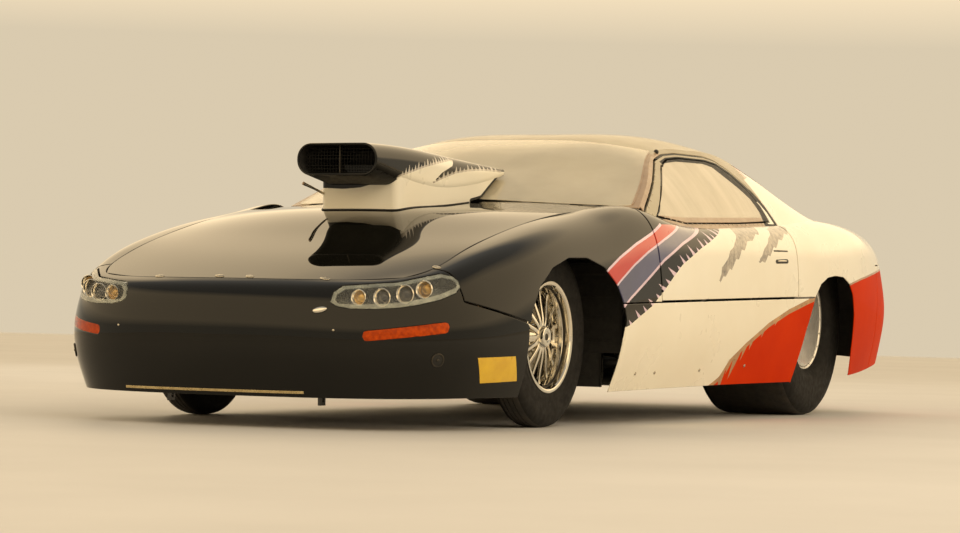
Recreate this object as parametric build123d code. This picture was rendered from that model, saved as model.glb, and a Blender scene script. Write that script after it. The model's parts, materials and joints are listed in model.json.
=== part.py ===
from build123d import *
import math
import os
import numpy as np

# Two-door drag racing coupe, parked on its four wheels.
# All tables below are in the body's own level frame, in mm:
# x forward from the front axle, y to the left, z up.  PLACE sets the body down
# on the ground with its nose-down rake and centres it over the origin.
os.makedirs("parts", exist_ok=True)

# ---------------- driving dimensions ----------------
WHEELBASE = 2638.0
RAKE = math.radians(1.563)
DROP = 87.0
SLIDE = -11.3
X_MID = -1565.0            # middle of the overall length, in the ground frame
SKIN = 4.0                 # body panel thickness
GAP = 2.5                  # half of a shut line
FRONT_Z, REAR_Z = 415.2, 430.0
FRONT_TYRE_R, FRONT_TYRE_W = 328.0, 112.0
FRONT_RIM_R, FRONT_Y = 203.0, 702.0
KINGPIN_Y = 612.0
REAR_TYRE_R, REAR_TYRE_W = 414.6, 420.0
REAR_RIM_R, REAR_Y = 214.0, 612.0

PLACE = Location((SLIDE - X_MID, 0, -DROP), (0, math.degrees(RAKE), 0))

# ---------------- body side sections, nose centre to tail centre ----------------
# columns: (x...), (y...), (z...), each from the panel's top edge down to its bottom edge
SIDE_ROWS = [
    ((985, 1024, 1052, 1070, 1078, 1070, 1052, 1034), (0,) * 8, (622, 603, 568, 505, 430, 350, 282, 224)),
    ((972, 1012, 1040, 1058, 1066, 1058, 1040, 1022), (250, 252, 254, 256, 258, 258, 256, 254), (621, 602, 567, 504, 430, 350, 282, 224)),
    ((925, 968, 998, 1016, 1024, 1018, 1000, 984), (452, 460, 466, 472, 476, 474, 468, 460), (622, 604, 567, 503, 430, 350, 282, 224)),
    ((850, 892, 922, 938, 944, 938, 924, 912), (596, 612, 624, 634, 640, 638, 626, 612), (632, 612, 570, 503, 430, 350, 282, 224)),
    ((735, 770, 795, 808, 812, 808, 798, 790), (650, 694, 722, 742, 752, 748, 732, 712), (662, 640, 590, 515, 440, 355, 285, 223)),
    ((560, 572, 590, 600, 604, 602, 598, 594), (664, 738, 784, 814, 828, 824, 806, 784), (716, 700, 640, 550, 460, 370, 290, 221)),
    ((330, 332, 336, 340, 342, 342, 342, 342), (668, 756, 822, 856, 868, 866, 850, 826), (772, 760, 700, 600, 500, 400, 300, 216)),
    ((0,) * 8, (676, 760, 830, 868, 878, 876, 858, 832), (832, 820, 768, 670, 560, 430, 310, 210)),
    ((-330,) * 8, (696, 764, 832, 872, 882, 878, 856, 820), (872, 862, 812, 720, 600, 450, 315, 206)),
    ((-700,) * 8, (760, 800, 842, 876, 888, 882, 850, 806), (896, 886, 850, 770, 640, 470, 320, 200)),
    ((-900,) * 8, (800, 826, 855, 881, 892, 886, 855, 811), (858, 848, 824, 760, 640, 475, 321, 198)),
    ((-1150,) * 8, (828, 846, 867, 887, 896, 891, 859, 816), (826, 816, 797, 750, 645, 480, 322, 195)),
    ((-1700,) * 8, (834, 853, 876, 898, 908, 904, 876, 838), (829, 819, 800, 752, 650, 490, 325, 188)),
    ((-2200,) * 8, (832, 854, 882, 912, 926, 924, 902, 872), (843, 833, 812, 762, 660, 500, 330, 180)),
    ((-2650,) * 8, (796, 828, 872, 916, 936, 935, 916, 888), (866, 857, 832, 775, 665, 500, 330, 178)),
    ((-3050,) * 8, (720, 780, 850, 898, 918, 918, 900, 874), (860, 850, 820, 765, 650, 488, 330, 186)),
    ((-3400, -3400, -3396, -3392, -3390, -3390, -3388, -3386), (660, 735, 800, 845, 870, 880, 866, 840), (846, 828, 785, 725, 630, 475, 330, 206)),
    ((-3600, -3608, -3614, -3618, -3622, -3630, -3618, -3602), (600, 670, 728, 762, 782, 806, 794, 776), (838, 810, 765, 708, 630, 472, 335, 228)),
    ((-3680, -3694, -3704, -3712, -3722, -3744, -3728, -3708), (400, 430, 460, 484, 500, 520, 510, 496), (836, 812, 770, 712, 625, 470, 338, 246)),
    ((-3700, -3716, -3728, -3736, -3746, -3770, -3754, -3734), (0,) * 8, (838, 814, 774, 714, 625, 470, 340, 250)),
]
# ---------------- greenhouse cap, windscreen base to rear glass base ----------------
# columns: centre, quarter, edge, as (x, y, z)
CAP_ROWS = [
    ((-650, 0, 921), (-670, 355, 908), (-790, 765, 893)),
    ((-985, 0, 1058), (-1005, 345, 1048), (-1090, 676, 1018)),
    ((-1300, 0, 1176), (-1325, 335, 1168), (-1400, 578, 1130)),
    ((-1680, 0, 1212), (-1680, 345, 1203), (-1680, 587, 1145)),
    ((-2080, 0, 1195), (-2080, 350, 1182), (-2080, 592, 1126)),
    ((-2300, 0, 1150), (-2290, 360, 1135), (-2258, 610, 1082)),
    ((-2560, 0, 1065), (-2540, 385, 1052), (-2449, 640, 1020)),
    ((-2960, 0, 902), (-2935, 430, 898), (-2830, 690, 872)),
]
# hood centre line, front edge to windscreen base: (x, z)
HOOD_CENTRE = [(985, 622), (850, 664), (690, 710), (430, 779), (90, 866), (-230, 889), (-638, 917)]


def spline_weights(t, u):
    """weights of a natural cubic spline with knots t, at the values u"""
    n = len(t)
    h = np.diff(t)
    a = np.zeros((n, n))
    b = np.zeros((n, n))
    a[0, 0] = a[-1, -1] = 1
    for i in range(1, n - 1):
        a[i, i - 1], a[i, i], a[i, i + 1] = h[i - 1], 2 * (h[i - 1] + h[i]), h[i]
        b[i, i - 1], b[i, i], b[i, i + 1] = 6 / h[i - 1], -6 / h[i - 1] - 6 / h[i], 6 / h[i]
    m = np.linalg.solve(a, b)
    u = np.atleast_1d(np.asarray(u, float))
    k = np.clip(np.searchsorted(t, u, side="right") - 1, 0, n - 2)
    hh = h[k]
    p, q = (t[k + 1] - u) / hh, (u - t[k]) / hh
    w = np.zeros((len(u), n))
    r = np.arange(len(u))
    w[r, k] += p
    w[r, k + 1] += q
    w += ((p ** 3 - p) * hh ** 2 / 6)[:, None] * m[k] + ((q ** 3 - q) * hh ** 2 / 6)[:, None] * m[k + 1]
    return w


class Net:
    """smooth surface through a table of points; u runs over rows, v over columns"""

    def __init__(self, rows):
        self.p = np.array(rows, float)
        self.tu = self.knots(self.p)
        self.tv = self.knots(np.swapaxes(self.p, 0, 1))

    @staticmethod
    def knots(p):
        d = np.linalg.norm(np.diff(p, axis=0), axis=2).mean(1)
        t = np.concatenate([[0], np.cumsum(d)])
        return t / t[-1]

    def grid(self, u, v):
        return np.einsum("ai,bj,ijk->abk", spline_weights(self.tu, u), spline_weights(self.tv, v), self.p)

    def normals(self, u, v, e=1e-4):
        u, v = np.asarray(u, float), np.asarray(v, float)
        du = self.grid(np.clip(u + e, 0, 1), v) - self.grid(np.clip(u - e, 0, 1), v)
        dv = self.grid(u, np.clip(v + e, 0, 1)) - self.grid(u, np.clip(v - e, 0, 1))
        n = np.cross(du, dv)
        return n / np.linalg.norm(n, axis=2)[:, :, None]


MIRROR = np.array([1, -1, 1])
half = [list(zip(*r)) for r in SIDE_ROWS]
half = [np.array(r, float) for r in half]
ring = [half[i] * MIRROR for i in range(len(half) - 1, 0, -1)] + half
ring = [half[-2]] + ring + [half[-2] * MIRROR]
RING = Net(ring)
N_HALF = len(half)
U_ROW = {i: RING.tu[N_HALF + i] for i in range(N_HALF)}          # left side rows
U_ROW.update({-i: RING.tu[N_HALF - i] for i in range(1, N_HALF)})  # right side rows

cap = []
for c, m, e in CAP_ROWS:
    c, m, e = (np.array(k, float) for k in (c, m, e))
    cap.append([e * MIRROR, m * MIRROR, c, m, e])
CAP = Net(cap)

# hood: rows follow the fender line, columns run across
cowl = RING.grid(np.linspace(U_ROW[9], U_ROW[10], 60), [0])[:, 0]
cowl = cowl[np.argmin(abs(cowl[:, 0] + 772))]
hood = []
for i in range(len(HOOD_CENTRE)):
    side = half[3 + i][0] if i < 6 else cowl
    row = []
    for t in (-1, -0.75, -0.5, -0.25, 0, 0.25, 0.5, 0.75, 1):
        s, a = (1 if t >= 0 else -1), abs(t)
        if i == 0:
            tt = {0: 0, .25: U_ROW[0] + .62 * (U_ROW[1] - U_ROW[0]), .5: U_ROW[1] + .36 * (U_ROW[2] - U_ROW[1]),
                  .75: U_ROW[2] - .06 * (U_ROW[2] - U_ROW[1]), 1: U_ROW[3]}[a]
            q = RING.grid([U_ROW[0] if a == 0 else tt], [0])[0, 0]
        else:
            cx, cz = HOOD_CENTRE[i]
            sx, sy, sz = side
            q = np.array([cx + (sx - cx) * a ** 2.2, sy * a, cz + (sz - cz) * a ** 2.2])
        row.append(q * np.array([1, s, 1]))
    hood.append(row)
HOOD = Net(hood)

# side of the greenhouse: from the belt line up to the cap's edge, per station
SIDE_STATIONS = [-790, -900, -1090, -1400, -1680, -2080, -2258, -2449, -2640, -2830]
cap_edge = np.array([r[2] for r in CAP_ROWS], float)
e_dense = CAP.grid(np.linspace(0, 1, 400), [1])[:, 0]
b_dense = RING.grid(np.linspace(U_ROW[8], U_ROW[16], 400), [0])[:, 0]
side_glass = []
for x in SIDE_STATIONS:
    i = np.argmin(abs(e_dense[:, 0] - x))
    j = np.argmin(abs(b_dense[:, 0] - x))
    top, bot = e_dense[i], b_dense[j]
    bow = 0.035 * np.linalg.norm(top - bot)
    row = []
    for t in (0, .33, .67, 1):
        q = bot + (top - bot) * t
        q = q + np.array([0, 1, 0.45]) * bow * 4 * t * (1 - t)
        row.append(q)
    side_glass.append(row)
GLASS = Net(side_glass)

# deck between the quarters, rear glass base to tail
deck = []
for t in (0, .33, .67, 1):
    row = []
    for a in (-1, -.5, 0, .5, 1):
        s = 1 if a >= 0 else -1
        f = {0: (-2960, 0, 902), .5: (-2948, 400, 898), 1: (-2850, 690, 871)}[abs(a)]
        r = {0: (-3698, 0, 840), .5: (-3690, 300, 839), 1: (-3600, 600, 840)}[abs(a)]
        q = np.array(f, float) * (1 - t) + np.array(r, float) * t
        q[2] += 12 * 4 * t * (1 - t) * (1 - abs(a)) - 6 * 4 * t * (1 - t) * abs(a)
        if abs(a) == 1:
            q[1] = {0: 690, .33: 702, .67: 665, 1: 600}[t]
            q[0] = {0: -2850, .33: -3100, .67: -3360, 1: -3600}[t]
            q[2] = {0: 872, .33: 860, .67: 847, 1: 838}[t]
        q[1] *= s
        row.append(q)
    deck.append(row)
DECK = Net(deck)


# ---------------- panel builders ----------------
def face_of(points):
    return Face.make_surface_from_array_of_points(
        [[Vector(*map(float, q)) for q in r] for r in points], tol=0.05, min_deg=3, max_deg=3)


def skin(net, u0, u1, v0, v1, nu, nv, t=SKIN, out=0.0, flip=-1):
    """a panel of even thickness: outer face on the net (moved out by `out`), t thick inward"""
    u, v = np.linspace(u0, u1, nu), np.linspace(v0, v1, nv)
    p, n = net.grid(u, v), net.normals(u, v) * flip
    f_out, f_in = face_of(p + n * out), face_of(p + n * (out - t))
    eo, ei = f_out.edges(), f_in.edges()
    faces = [f_out, f_in]
    for e in eo:
        m = min(ei, key=lambda k: (k @ 0.5 - e @ 0.5).length)
        faces.append(Face.make_surface_from_curves(e, m))
    s = Solid(Shell(faces))
    return s.fix() if hasattr(s, "fix") else s


def prism_xz(pts, y0, y1):
    w = Polyline(*[Vector(x, y0, z) for x, z in pts], close=True)
    return extrude(make_face(w), amount=abs(y1 - y0), dir=(0, 1, 0))


def prism_yz(pts, x0, x1):
    w = Polyline(*[Vector(x0, y, z) for y, z in pts], close=True)
    return extrude(make_face(w), amount=abs(x1 - x0), dir=(1, 0, 0))


def prism_xy(pts, z0, z1):
    w = Polyline(*[Vector(x, y, z0) for x, y in pts], close=True)
    return extrude(make_face(w), amount=abs(z1 - z0), dir=(0, 0, 1))


def box(x0, x1, y0, y1, z0, z1):
    return Pos((x0 + x1) / 2, (y0 + y1) / 2, (z0 + z1) / 2) * Box(abs(x1 - x0), abs(y1 - y0), abs(z1 - z0))


def rod(a, b, r):
    a, b = Vector(*a), Vector(*b)
    return Plane(origin=a, z_dir=b - a) * Pos(0, 0, (b - a).length / 2) * Cylinder(r, (b - a).length)


def tube_run(pts, r):
    """round bar through points, with a ball at each inner corner"""
    s = None
    for a, b in zip(pts[:-1], pts[1:]):
        k = rod(a, b, r)
        s = k if s is None else s + k
    for p in pts[1:-1]:
        s = s + Pos(*p) * Sphere(r)
    return s


def cyl_y(x, z, y0, y1, r):
    return rod((x, y0, z), (x, y1, z), r)


def other(s):
    return mirror(s, about=Plane.XZ)


def lathe_y(profile, x, z):
    """solid of revolution about a line along y through (x, z); profile of (y, r)"""
    w = Polyline(*[Vector(x, y, z + r) for y, r in profile], close=True)
    return revolve(make_face(w), axis=Axis((x, 0, z), (0, 1, 0)), revolution_arc=360)


NODES = []


def save(name, shape):
    """place a finished sub-part in the ground frame and write its file"""
    if isinstance(shape, (list, ShapeList)):
        shape = Compound(children=list(shape))
    shape = PLACE * shape
    export_step(shape, f"parts/{name}.step")
    NODES.append((name, shape))


# ---------------- outlines in side view (x, z) ----------------
DOOR_FRONT_TOP, DOOR_FRONT_LOW = -686, -745
DOOR_REAR_TOP, DOOR_REAR_LOW = -2148, -2166
SILL_Z = 534.0
ARCH_F = [(404, 60), (412, 415)] + [(-4 + 416 * math.cos(a), 415 + 292 * math.sin(a)) for a in
                                    [math.radians(k) for k in (20, 40, 60, 80, 100, 120, 140, 155)]] + [(-418, 470), (-405, 400), (-386, 60)]
ARCH_R = [(-2215, 60), (-2222, 175), (-2296, 400), (-2363, 537), (-2425, 592), (-2510, 620), (-2607, 627),
          (-2720, 620), (-2800, 592), (-2862, 540), (-2905, 450), (-2932, 300), (-2956, 195), (-2962, 60)]
NOSE_OUT = [(738, 900), (738, 549), (408, 472), (408, 60), (1400, 60), (1400, 900)]
FENDER_OUT = [(733, 900), (733, 554), (402, 478), (-300, 478), (-300, SILL_Z + GAP),
              (DOOR_FRONT_LOW + GAP + 4, SILL_Z + GAP), (DOOR_FRONT_TOP + GAP + 4, 880), (DOOR_FRONT_TOP + 14, 930)]
DOOR_OUT = [(DOOR_FRONT_TOP - 14, 990), (DOOR_FRONT_TOP - GAP, 880), (DOOR_FRONT_LOW - GAP, SILL_Z + GAP + 4),
            (DOOR_REAR_LOW, SILL_Z + GAP + 4), (DOOR_REAR_TOP, 790), (DOOR_REAR_TOP, 990)]
ROCKER_OUT = [(-360, SILL_Z - GAP), (-360, 60), (-2300, 60), (-2380, SILL_Z - GAP)]
QUARTER_OUT = [(DOOR_REAR_TOP - 8, 990), (DOOR_REAR_TOP - 8, 790), (DOOR_REAR_LOW - 8, SILL_Z + GAP + 2), (-2500, SILL_Z + GAP + 2),
               (-2700, 60), (-3326, 60), (-3326, 672), (-3558, 672), (-3558, 990)]
BUMPER_OUT = [(-3331, 60), (-3331, 667), (-3563, 667), (-3563, 990), (-4000, 990), (-4000, 60)]

FAR = 1400
nose_full = skin(RING, U_ROW[-6], U_ROW[6], 0, 1, 33, 12)
nose = nose_full & prism_xz(NOSE_OUT, -FAR, FAR)
LAMP = [(392, 528), (398, 592), (440, 606), (600, 618), (700, 640), (764, 646), (786, 622), (770, 596), (700, 560), (600, 534), (470, 525)]
LAMP_GAP = [(388, 522), (394, 596), (437, 611), (598, 623), (700, 645), (768, 652), (793, 622), (774, 591), (702, 554), (602, 528), (470, 519)]
TURN = [(514, 421), (514, 452), (768, 487), (768, 457)]
TURN_GAP = [(510, 417), (510, 456), (772, 491), (772, 453)]


def flip_y(pts):
    return [(-a, b) for a, b in pts]


for pts in (LAMP_GAP, TURN_GAP):
    nose = nose - prism_yz(pts, 690, 1200) - prism_yz(flip_y(pts), 690, 1200)
# lower lip strip across the nose, and the inner return that carries the lamps
save("nose", nose)

lamp_skin = skin(RING, U_ROW[1], U_ROW[5], 0, 1, 15, 10, t=8)
lamps = []
for pts in (LAMP, TURN):
    k = lamp_skin & prism_yz(pts, 742, 1200)
    lamps += [k, other(k)]
save("head_lamps", lamps[:2])
save("turn_lamps", lamps[2:])

fender = skin(RING, U_ROW[3], U_ROW[10], 0, 1, 22, 12) & prism_xz(FENDER_OUT, 0, FAR)
fender = fender - prism_xz(ARCH_F, 0, FAR)
fender = fender - prism_yz(LAMP_GAP, 690, 1200)
save("left_fender", fender)
save("right_fender", other(fender))

DOOR_INSET = [(DOOR_FRONT_TOP - 40, 990), (DOOR_FRONT_TOP - 14, 880), (DOOR_FRONT_LOW - 12, SILL_Z + 18),
              (DOOR_REAR_LOW + 10, SILL_Z + 18), (DOOR_REAR_TOP + 10, 790), (DOOR_REAR_TOP + 10, 990)]
door_low = skin(RING, U_ROW[8], U_ROW[14], 0, 1, 18, 12, t=58) & prism_xz(DOOR_OUT, 0, FAR)
door_low = door_low - (skin(RING, U_ROW[8], U_ROW[14], 0.02, 1, 18, 12, t=50, out=-4) & prism_xz(DOOR_INSET, 0, FAR))

rocker = skin(RING, U_ROW[7], U_ROW[15], 0, 1, 20, 12) & prism_xz(ROCKER_OUT, 0, FAR)
rocker = rocker - prism_xz(ARCH_F, 0, FAR) - prism_xz(ARCH_R, 0, FAR)
save("left_rocker", rocker)
save("right_rocker", other(rocker))

quarter = skin(RING, U_ROW[12], U_ROW[17] + .4 * (U_ROW[18] - U_ROW[17]), 0, 1, 22, 12) & prism_xz(QUARTER_OUT, 0, FAR)
quarter = quarter - prism_xz(ARCH_R, 0, FAR)
save("left_quarter", quarter)
save("right_quarter", other(quarter))

bumper = skin(RING, U_ROW[15], RING.tu[-1], 0, 1, 22, 12)
bumper = bumper & prism_xz(BUMPER_OUT, 0, FAR)
TAIL = [(300, 694), (300, 782), (520, 780), (660, 776), (716, 768), (738, 735), (742, 700), (640, 692)]
TAIL_GAP = [(295, 689), (295, 787), (520, 785), (662, 781), (720, 772), (743, 737), (747, 695), (640, 687)]
bumper = bumper - prism_yz(TAIL_GAP, -3900, -3500)
tail_skin = skin(RING, U_ROW[16], U_ROW[19], 0, 1, 13, 10, t=8) & prism_xz([(-3566, 680), (-3566, 900), (-3900, 900), (-3900, 680)], 0, FAR)
tail_lamp = tail_skin & prism_yz(TAIL, -3900, -3400)
half_bumper = bumper & box(-4000, -3000, 0.0, FAR, 0, 1200)
save("rear_bumper", half_bumper + other(half_bumper))
save("tail_lamps", [tail_lamp, other(tail_lamp)])

# ---------------- hood and scoop ----------------
SCOOP_HOLE = (-420, 50, 140)          # x rear, x front, half width
hood_skin = skin(HOOD, 0.004, 1, 0.006, 0.994, 20, 21, flip=-1)
hood_panel = hood_skin - box(SCOOP_HOLE[0], SCOOP_HOLE[1], -SCOOP_HOLE[2], SCOOP_HOLE[2], 700, 1000)
save("hood", hood_panel)
# scoop sections: x, half width, bottom z, top z, corner radius
SCOOP = [(240, 166, 994, 1113, 57), (60, 166, 962, 1111, 56), (-160, 165, 930, 1101, 54), (-480, 162, 936, 1077, 48), (-870, 156, 1018, 1045, 12)]


def scoop_section(x, w, z0, z1, r, d=0):
    sk = Plane(origin=(x, 0, (z0 + z1) / 2), x_dir=(0, 1, 0), z_dir=(1, 0, 0)) * RectangleRounded(2 * (w - d), z1 - z0 - 2 * d, max(1, r - d))
    return sk


duct = loft([scoop_section(*r) for r in SCOOP], ruled=True)
# neck under the duct, (x, z) outline, as wide as the duct, with round front corners
NECK = [(64, 864), (68, 1000), (60, 1040), (-480, 1040), (-840, 1030), (-655, 934), (-560, 926), (-420, 922), (-230, 892), (0, 868)]
neck = prism_xz(NECK, -161, 161)
PLAN = [(70, -118), (70, 118), (58, 138), (40, 151), (10, 159), (-480, 159), (-900, 153), (-900, -153), (-480, -159), (10, -159), (40, -151), (58, -138)]
neck = neck & prism_xy(PLAN, 800, 1200)
scoop = duct + neck
mouth_cut = loft([scoop_section(x, w, z0, z1, r, d=8) for x, w, z0, z1, r in ((260, 166, 994, 1113, 57), (60, 166, 962, 1111, 56), (-160, 165, 930, 1101, 54))], ruled=True)
scoop = scoop - mouth_cut - box(-400, 46, -92, 92, 840, 1020)
scoop = scoop - (skin(HOOD, 0.3, 1, 0.25, 0.75, 14, 12, t=60, out=3, flip=-1))
scoop = max(scoop.solids(), key=lambda k: k.volume)
save("hood_scoop", scoop)

# ---------------- greenhouse ----------------
frame_up = None
U_WS, U_BLT = CAP.tu[2], CAP.tu[4] + 0.35 * (CAP.tu[5] - CAP.tu[4])
ws_edge = 0.052
cap_full = skin(CAP, 0.004, 0.994, 0.0, 1.0, 22, 17, flip=-1)
ws_void = skin(CAP, 0.0, U_WS - 0.012, ws_edge - .002, 1 - ws_edge + .002, 14, 14, t=60, out=30, flip=-1)
bl_void = skin(CAP, U_BLT, 1.0, ws_edge - .002, 1 - ws_edge + .002, 12, 14, t=60, out=30, flip=-1)
roof = cap_full - ws_void - bl_void
WINDOW = [(-905, 868), (-1130, 973), (-1330, 1068), (-1440, 1098), (-1560, 1106), (-1800, 1102), (-1905, 1090), (-1985, 1052), (-2050, 990), (-2085, 920), (-2078, 858), (-1700, 848), (-1150, 842)]
WIN_GAP = [(-892, 862), (-1126, 977), (-1327, 1072), (-1439, 1102), (-1560, 1110), (-1801, 1106), (-1908, 1094), (-1989, 1055), (-2055, 992), (-2090, 920), (-2084, 853), (-1700, 843), (-1150, 837)]
UPPER = [(-812, 872), (-850, 894), (-1118, 1004), (-1320, 1092), (-1440, 1116), (-1560, 1124), (-1830, 1119), (-1935, 1106), (-2020, 1068), (-2095, 1000), (-2140, 925), (-2148, 850), (-2148, 700), (-812, 700)]
UPPER_GAP = [(-806, 880), (-847, 900), (-1116, 1010), (-1319, 1098), (-1439, 1122), (-1560, 1130), (-1832, 1125), (-1939, 1112), (-2025, 1073), (-2101, 1003), (-2147, 926), (-2155, 850), (-2155, 700), (-806, 700)]
gl = skin(GLASS, 0.012, 0.985, 0.004, 0.996, 24, 8, flip=1)
sail = gl - prism_xz(UPPER_GAP, 0, FAR)
sail = ShapeList([k for k in sail.solids() if k.volume > 20000])
belt_void = skin(RING, U_ROW[9], U_ROW[16], 0, 1, 20, 12, t=16, out=4)
roof_all = roof
for k in sail:
    roof_all = roof_all + k + other(k)
roof_all = roof_all - belt_void - other(belt_void)
save("roof", roof_all)
windscreen = skin(CAP, 0.006, U_WS - 0.016, ws_edge + .003, 1 - ws_edge - .003, 14, 14, flip=-1)
save("windscreen", windscreen)
rear_window = skin(CAP, U_BLT + 0.004, 0.99, ws_edge + .003, 1 - ws_edge - .003, 12, 14, flip=-1)
save("rear_window", rear_window)
gl_low = skin(GLASS, 0.012, 0.985, 0.0, 0.996, 24, 8, flip=1)
door_up = (gl_low & prism_xz(UPPER, 0, FAR)) - prism_xz(WIN_GAP, 0, FAR)
door = door_low + door_up
door = max(door.solids(), key=lambda k: k.volume)
save("left_door", door)
save("right_door", other(door))
door_glass = gl & prism_xz(WINDOW, 0, FAR)
save("left_door_glass", door_glass)
save("right_door_glass", other(door_glass))

# ---------------- deck ----------------
deck_lid = skin(DECK, 0.014, 0.985, 0.0075, 0.9925, 10, 13, flip=-1)
save("deck_lid", deck_lid)


# ---------------- structure ----------------
FLOOR_Z = 215.0
FIREWALL_X = -640.0
REAR_WALL_X = -2004.0
TRUNK_Z = 600.0
tunnel = [(-150, FLOOR_Z), (-150, 500), (-110, 545), (110, 545), (150, 500), (150, FLOOR_Z), (146, FLOOR_Z), (146, 498), (108, 541), (-108, 541), (-146, 498), (-146, FLOOR_Z)]
# flat sheets, each its own solid: floors, tunnel walls and top, rear wall, trunk floors
FX, RX = FIREWALL_X - 4, REAR_WALL_X
floor = [prism_yz([(y * 150, FLOOR_Z), (y * 776, FLOOR_Z), (y * 776, FLOOR_Z + 4), (y * 150, FLOOR_Z + 4)], RX + 4, FX) for y in (-1, 1)]
floor += [prism_yz([(y * 146, FLOOR_Z), (y * 150, FLOOR_Z), (y * 150, 500), (y * 146, 498)], RX + 4, FX) for y in (-1, 1)]
floor += [prism_yz([(y * 146, 498), (y * 150, 500), (y * 110, 545), (y * 108, 541)], RX + 4, FX) for y in (-1, 1)]
floor += [prism_yz([(-108, 541), (-110, 545), (110, 545), (108, 541)], RX + 4, FX)]
floor += [box(RX, RX + 4, y * 150, y * 776, FLOOR_Z, 500) for y in (-1, 1)]
floor += [prism_yz([(y * 150, 500), (y * 776, 500), (y * 776, 545), (y * 110, 545)], RX, RX + 4) for y in (-1, 1)]
floor += [box(RX, RX + 4, -776, 776, 545, TRUNK_Z), box(RX - 1071, RX + 4, -383, 383, TRUNK_Z, TRUNK_Z + 4), box(-3560, RX - 1071, -640, 640, TRUNK_Z, TRUNK_Z + 4)]
save("floor_pan", floor)

RAIL_R = 20.0
TIE_R = 8.0                # tie-down eye
CAGE_RUNS = [
    # name, points (left side, mirrored)
    ("main hoop", [(-1950, 700, 240), (-1950, 700, 800), (-1950, 545, 1085), (-1950, 0, 1120)]),
    ("front rail", [(880, 300, 300), (-660, 300, 300), (-760, 700, 300)]),
    ("windscreen pillar", [(-760, 700, 240), (-800, 712, 800), (-1120, 630, 975), (-1410, 535, 1075), (-1950, 545, 1085)]),
    ("door bar", [(-1950, 700, 330), (-780, 706, 560)]),
    ("door bar 2", [(-1950, 700, 620), (-770, 703, 330)]),
    ("rear stay", [(-1950, 440, 1092), (-3100, 240, 640)]),
    ("front hoop", [(-1410, 535, 1075), (-1410, 0, 1110)]),
    ("dash bar", [(-800, 712, 690), (-800, 0, 690)]),
    ("strut brace", [(860, 300, 520), (300, 420, 520), (-92, 561, 700), (-702, 642, 803), (-800, 712, 800)]),
    ("nose upright", [(861.4, 300.7, 300), (861.4, 300.7, 517)]),
]


def lengths(pts):
    """straight lengths of a bent bar and its mirror image, each with a ball at the bend it ends in"""
    out = []
    for y in (1, -1):
        q = [(a, y * b, c) for a, b, c in pts]
        for i, (a, b) in enumerate(zip(q, q[1:])):
            k = rod(a, b, RAIL_R)
            if i < len(q) - 2:
                k = k + Pos(*b) * Sphere(RAIL_R)
            out.append(k)
    return out


CROSS = [rod((860, -300, z), (860, 300, z), RAIL_R) for z in (300, 520)]
PADS = [rod((-90, y * 560, 700), (-90, y * 600, 700), 12) for y in (-1, 1)]
# tie-down eyes below the front rails
EYES = [box(868, 902, y - 6, y + 6, 190, 290) - cyl_y(885, 208, y - 10, y + 10, TIE_R) for y in (-300, 300)]
bars, made = {"frame_rails": [], "roll_cage": []}, []


def add_bar(node, k):
    """trim a length by the ones before it, so that they meet without sharing room"""
    bb = k.bounding_box()
    for other_, ob in made:
        if all(bb.min.to_tuple()[i] < ob.max.to_tuple()[i] and ob.min.to_tuple()[i] < bb.max.to_tuple()[i] for i in range(3)):
            k = k - other_
    k = max(k.solids(), key=lambda q: q.volume)
    made.append((k, k.bounding_box()))
    bars[node].append(k)


for name, pts in CAGE_RUNS:
    for k in lengths(pts):
        add_bar("frame_rails" if name in ("front rail", "nose upright") else "roll_cage", k)
for k in CROSS + EYES:
    add_bar("frame_rails", k)
for k in PADS:
    add_bar("roll_cage", k)
for name, shapes in bars.items():
    save(name, shapes)

wall = prism_yz([(-690, 224), (-690, 850), (-300, 878), (300, 878), (690, 850), (690, 224)], FIREWALL_X, FIREWALL_X + 4)
wall = wall - box(-700, -600, -155, 155, 200, 552)
for y in (-300, 300):
    wall = wall - cyl_y(0, 0, 0, 1, 1) - rod((-700, y, 300), (-600, y, 300), RAIL_R + 5)
for y in (-1, 1):
    wall = wall - rod((-600, y * 615, 780), (-700, y * 655, 810), RAIL_R + 14)
save("firewall", wall)

# engine: one plain block with heads and induction
ENGINE_X = (-575, 60)
eng = [(-120, 235), (-150, 430), (-300, 590), (-268, 700), (-120, 735), (120, 735), (268, 700), (300, 590), (150, 430), (120, 235)]
engine = prism_yz(eng, *ENGINE_X) + box(-400, 40, -85, 85, 730, 930)
save("engine", engine)
save("gearbox", rod((-580, 0, 385), (-700, 0, 385), 135) + rod((-700, 0, 385), (-1340, 0, 380), 92))
save("radiator", box(690, 745, -272, 272, 250, 520))
save("driveshaft", rod((-1346, 0, 380), (-2395, 0, 425), 42))

# exhaust: four pipes a side into one collector
PIPES = [0, -140, -280, -420]
exhaust = None
for x in PIPES:
    k = tube_run([(x, 298, 575), (x - 40, 380, 520), (-370, 420, 290)], 21)
    exhaust = k if exhaust is None else exhaust + k
exhaust = exhaust + rod((-350, 417, 300), (-590, 530, 195), 46)
exhaust = exhaust - box(*ENGINE_X, 0, 303, 560, 700)
save("exhaust", [exhaust, other(exhaust)])

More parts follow.
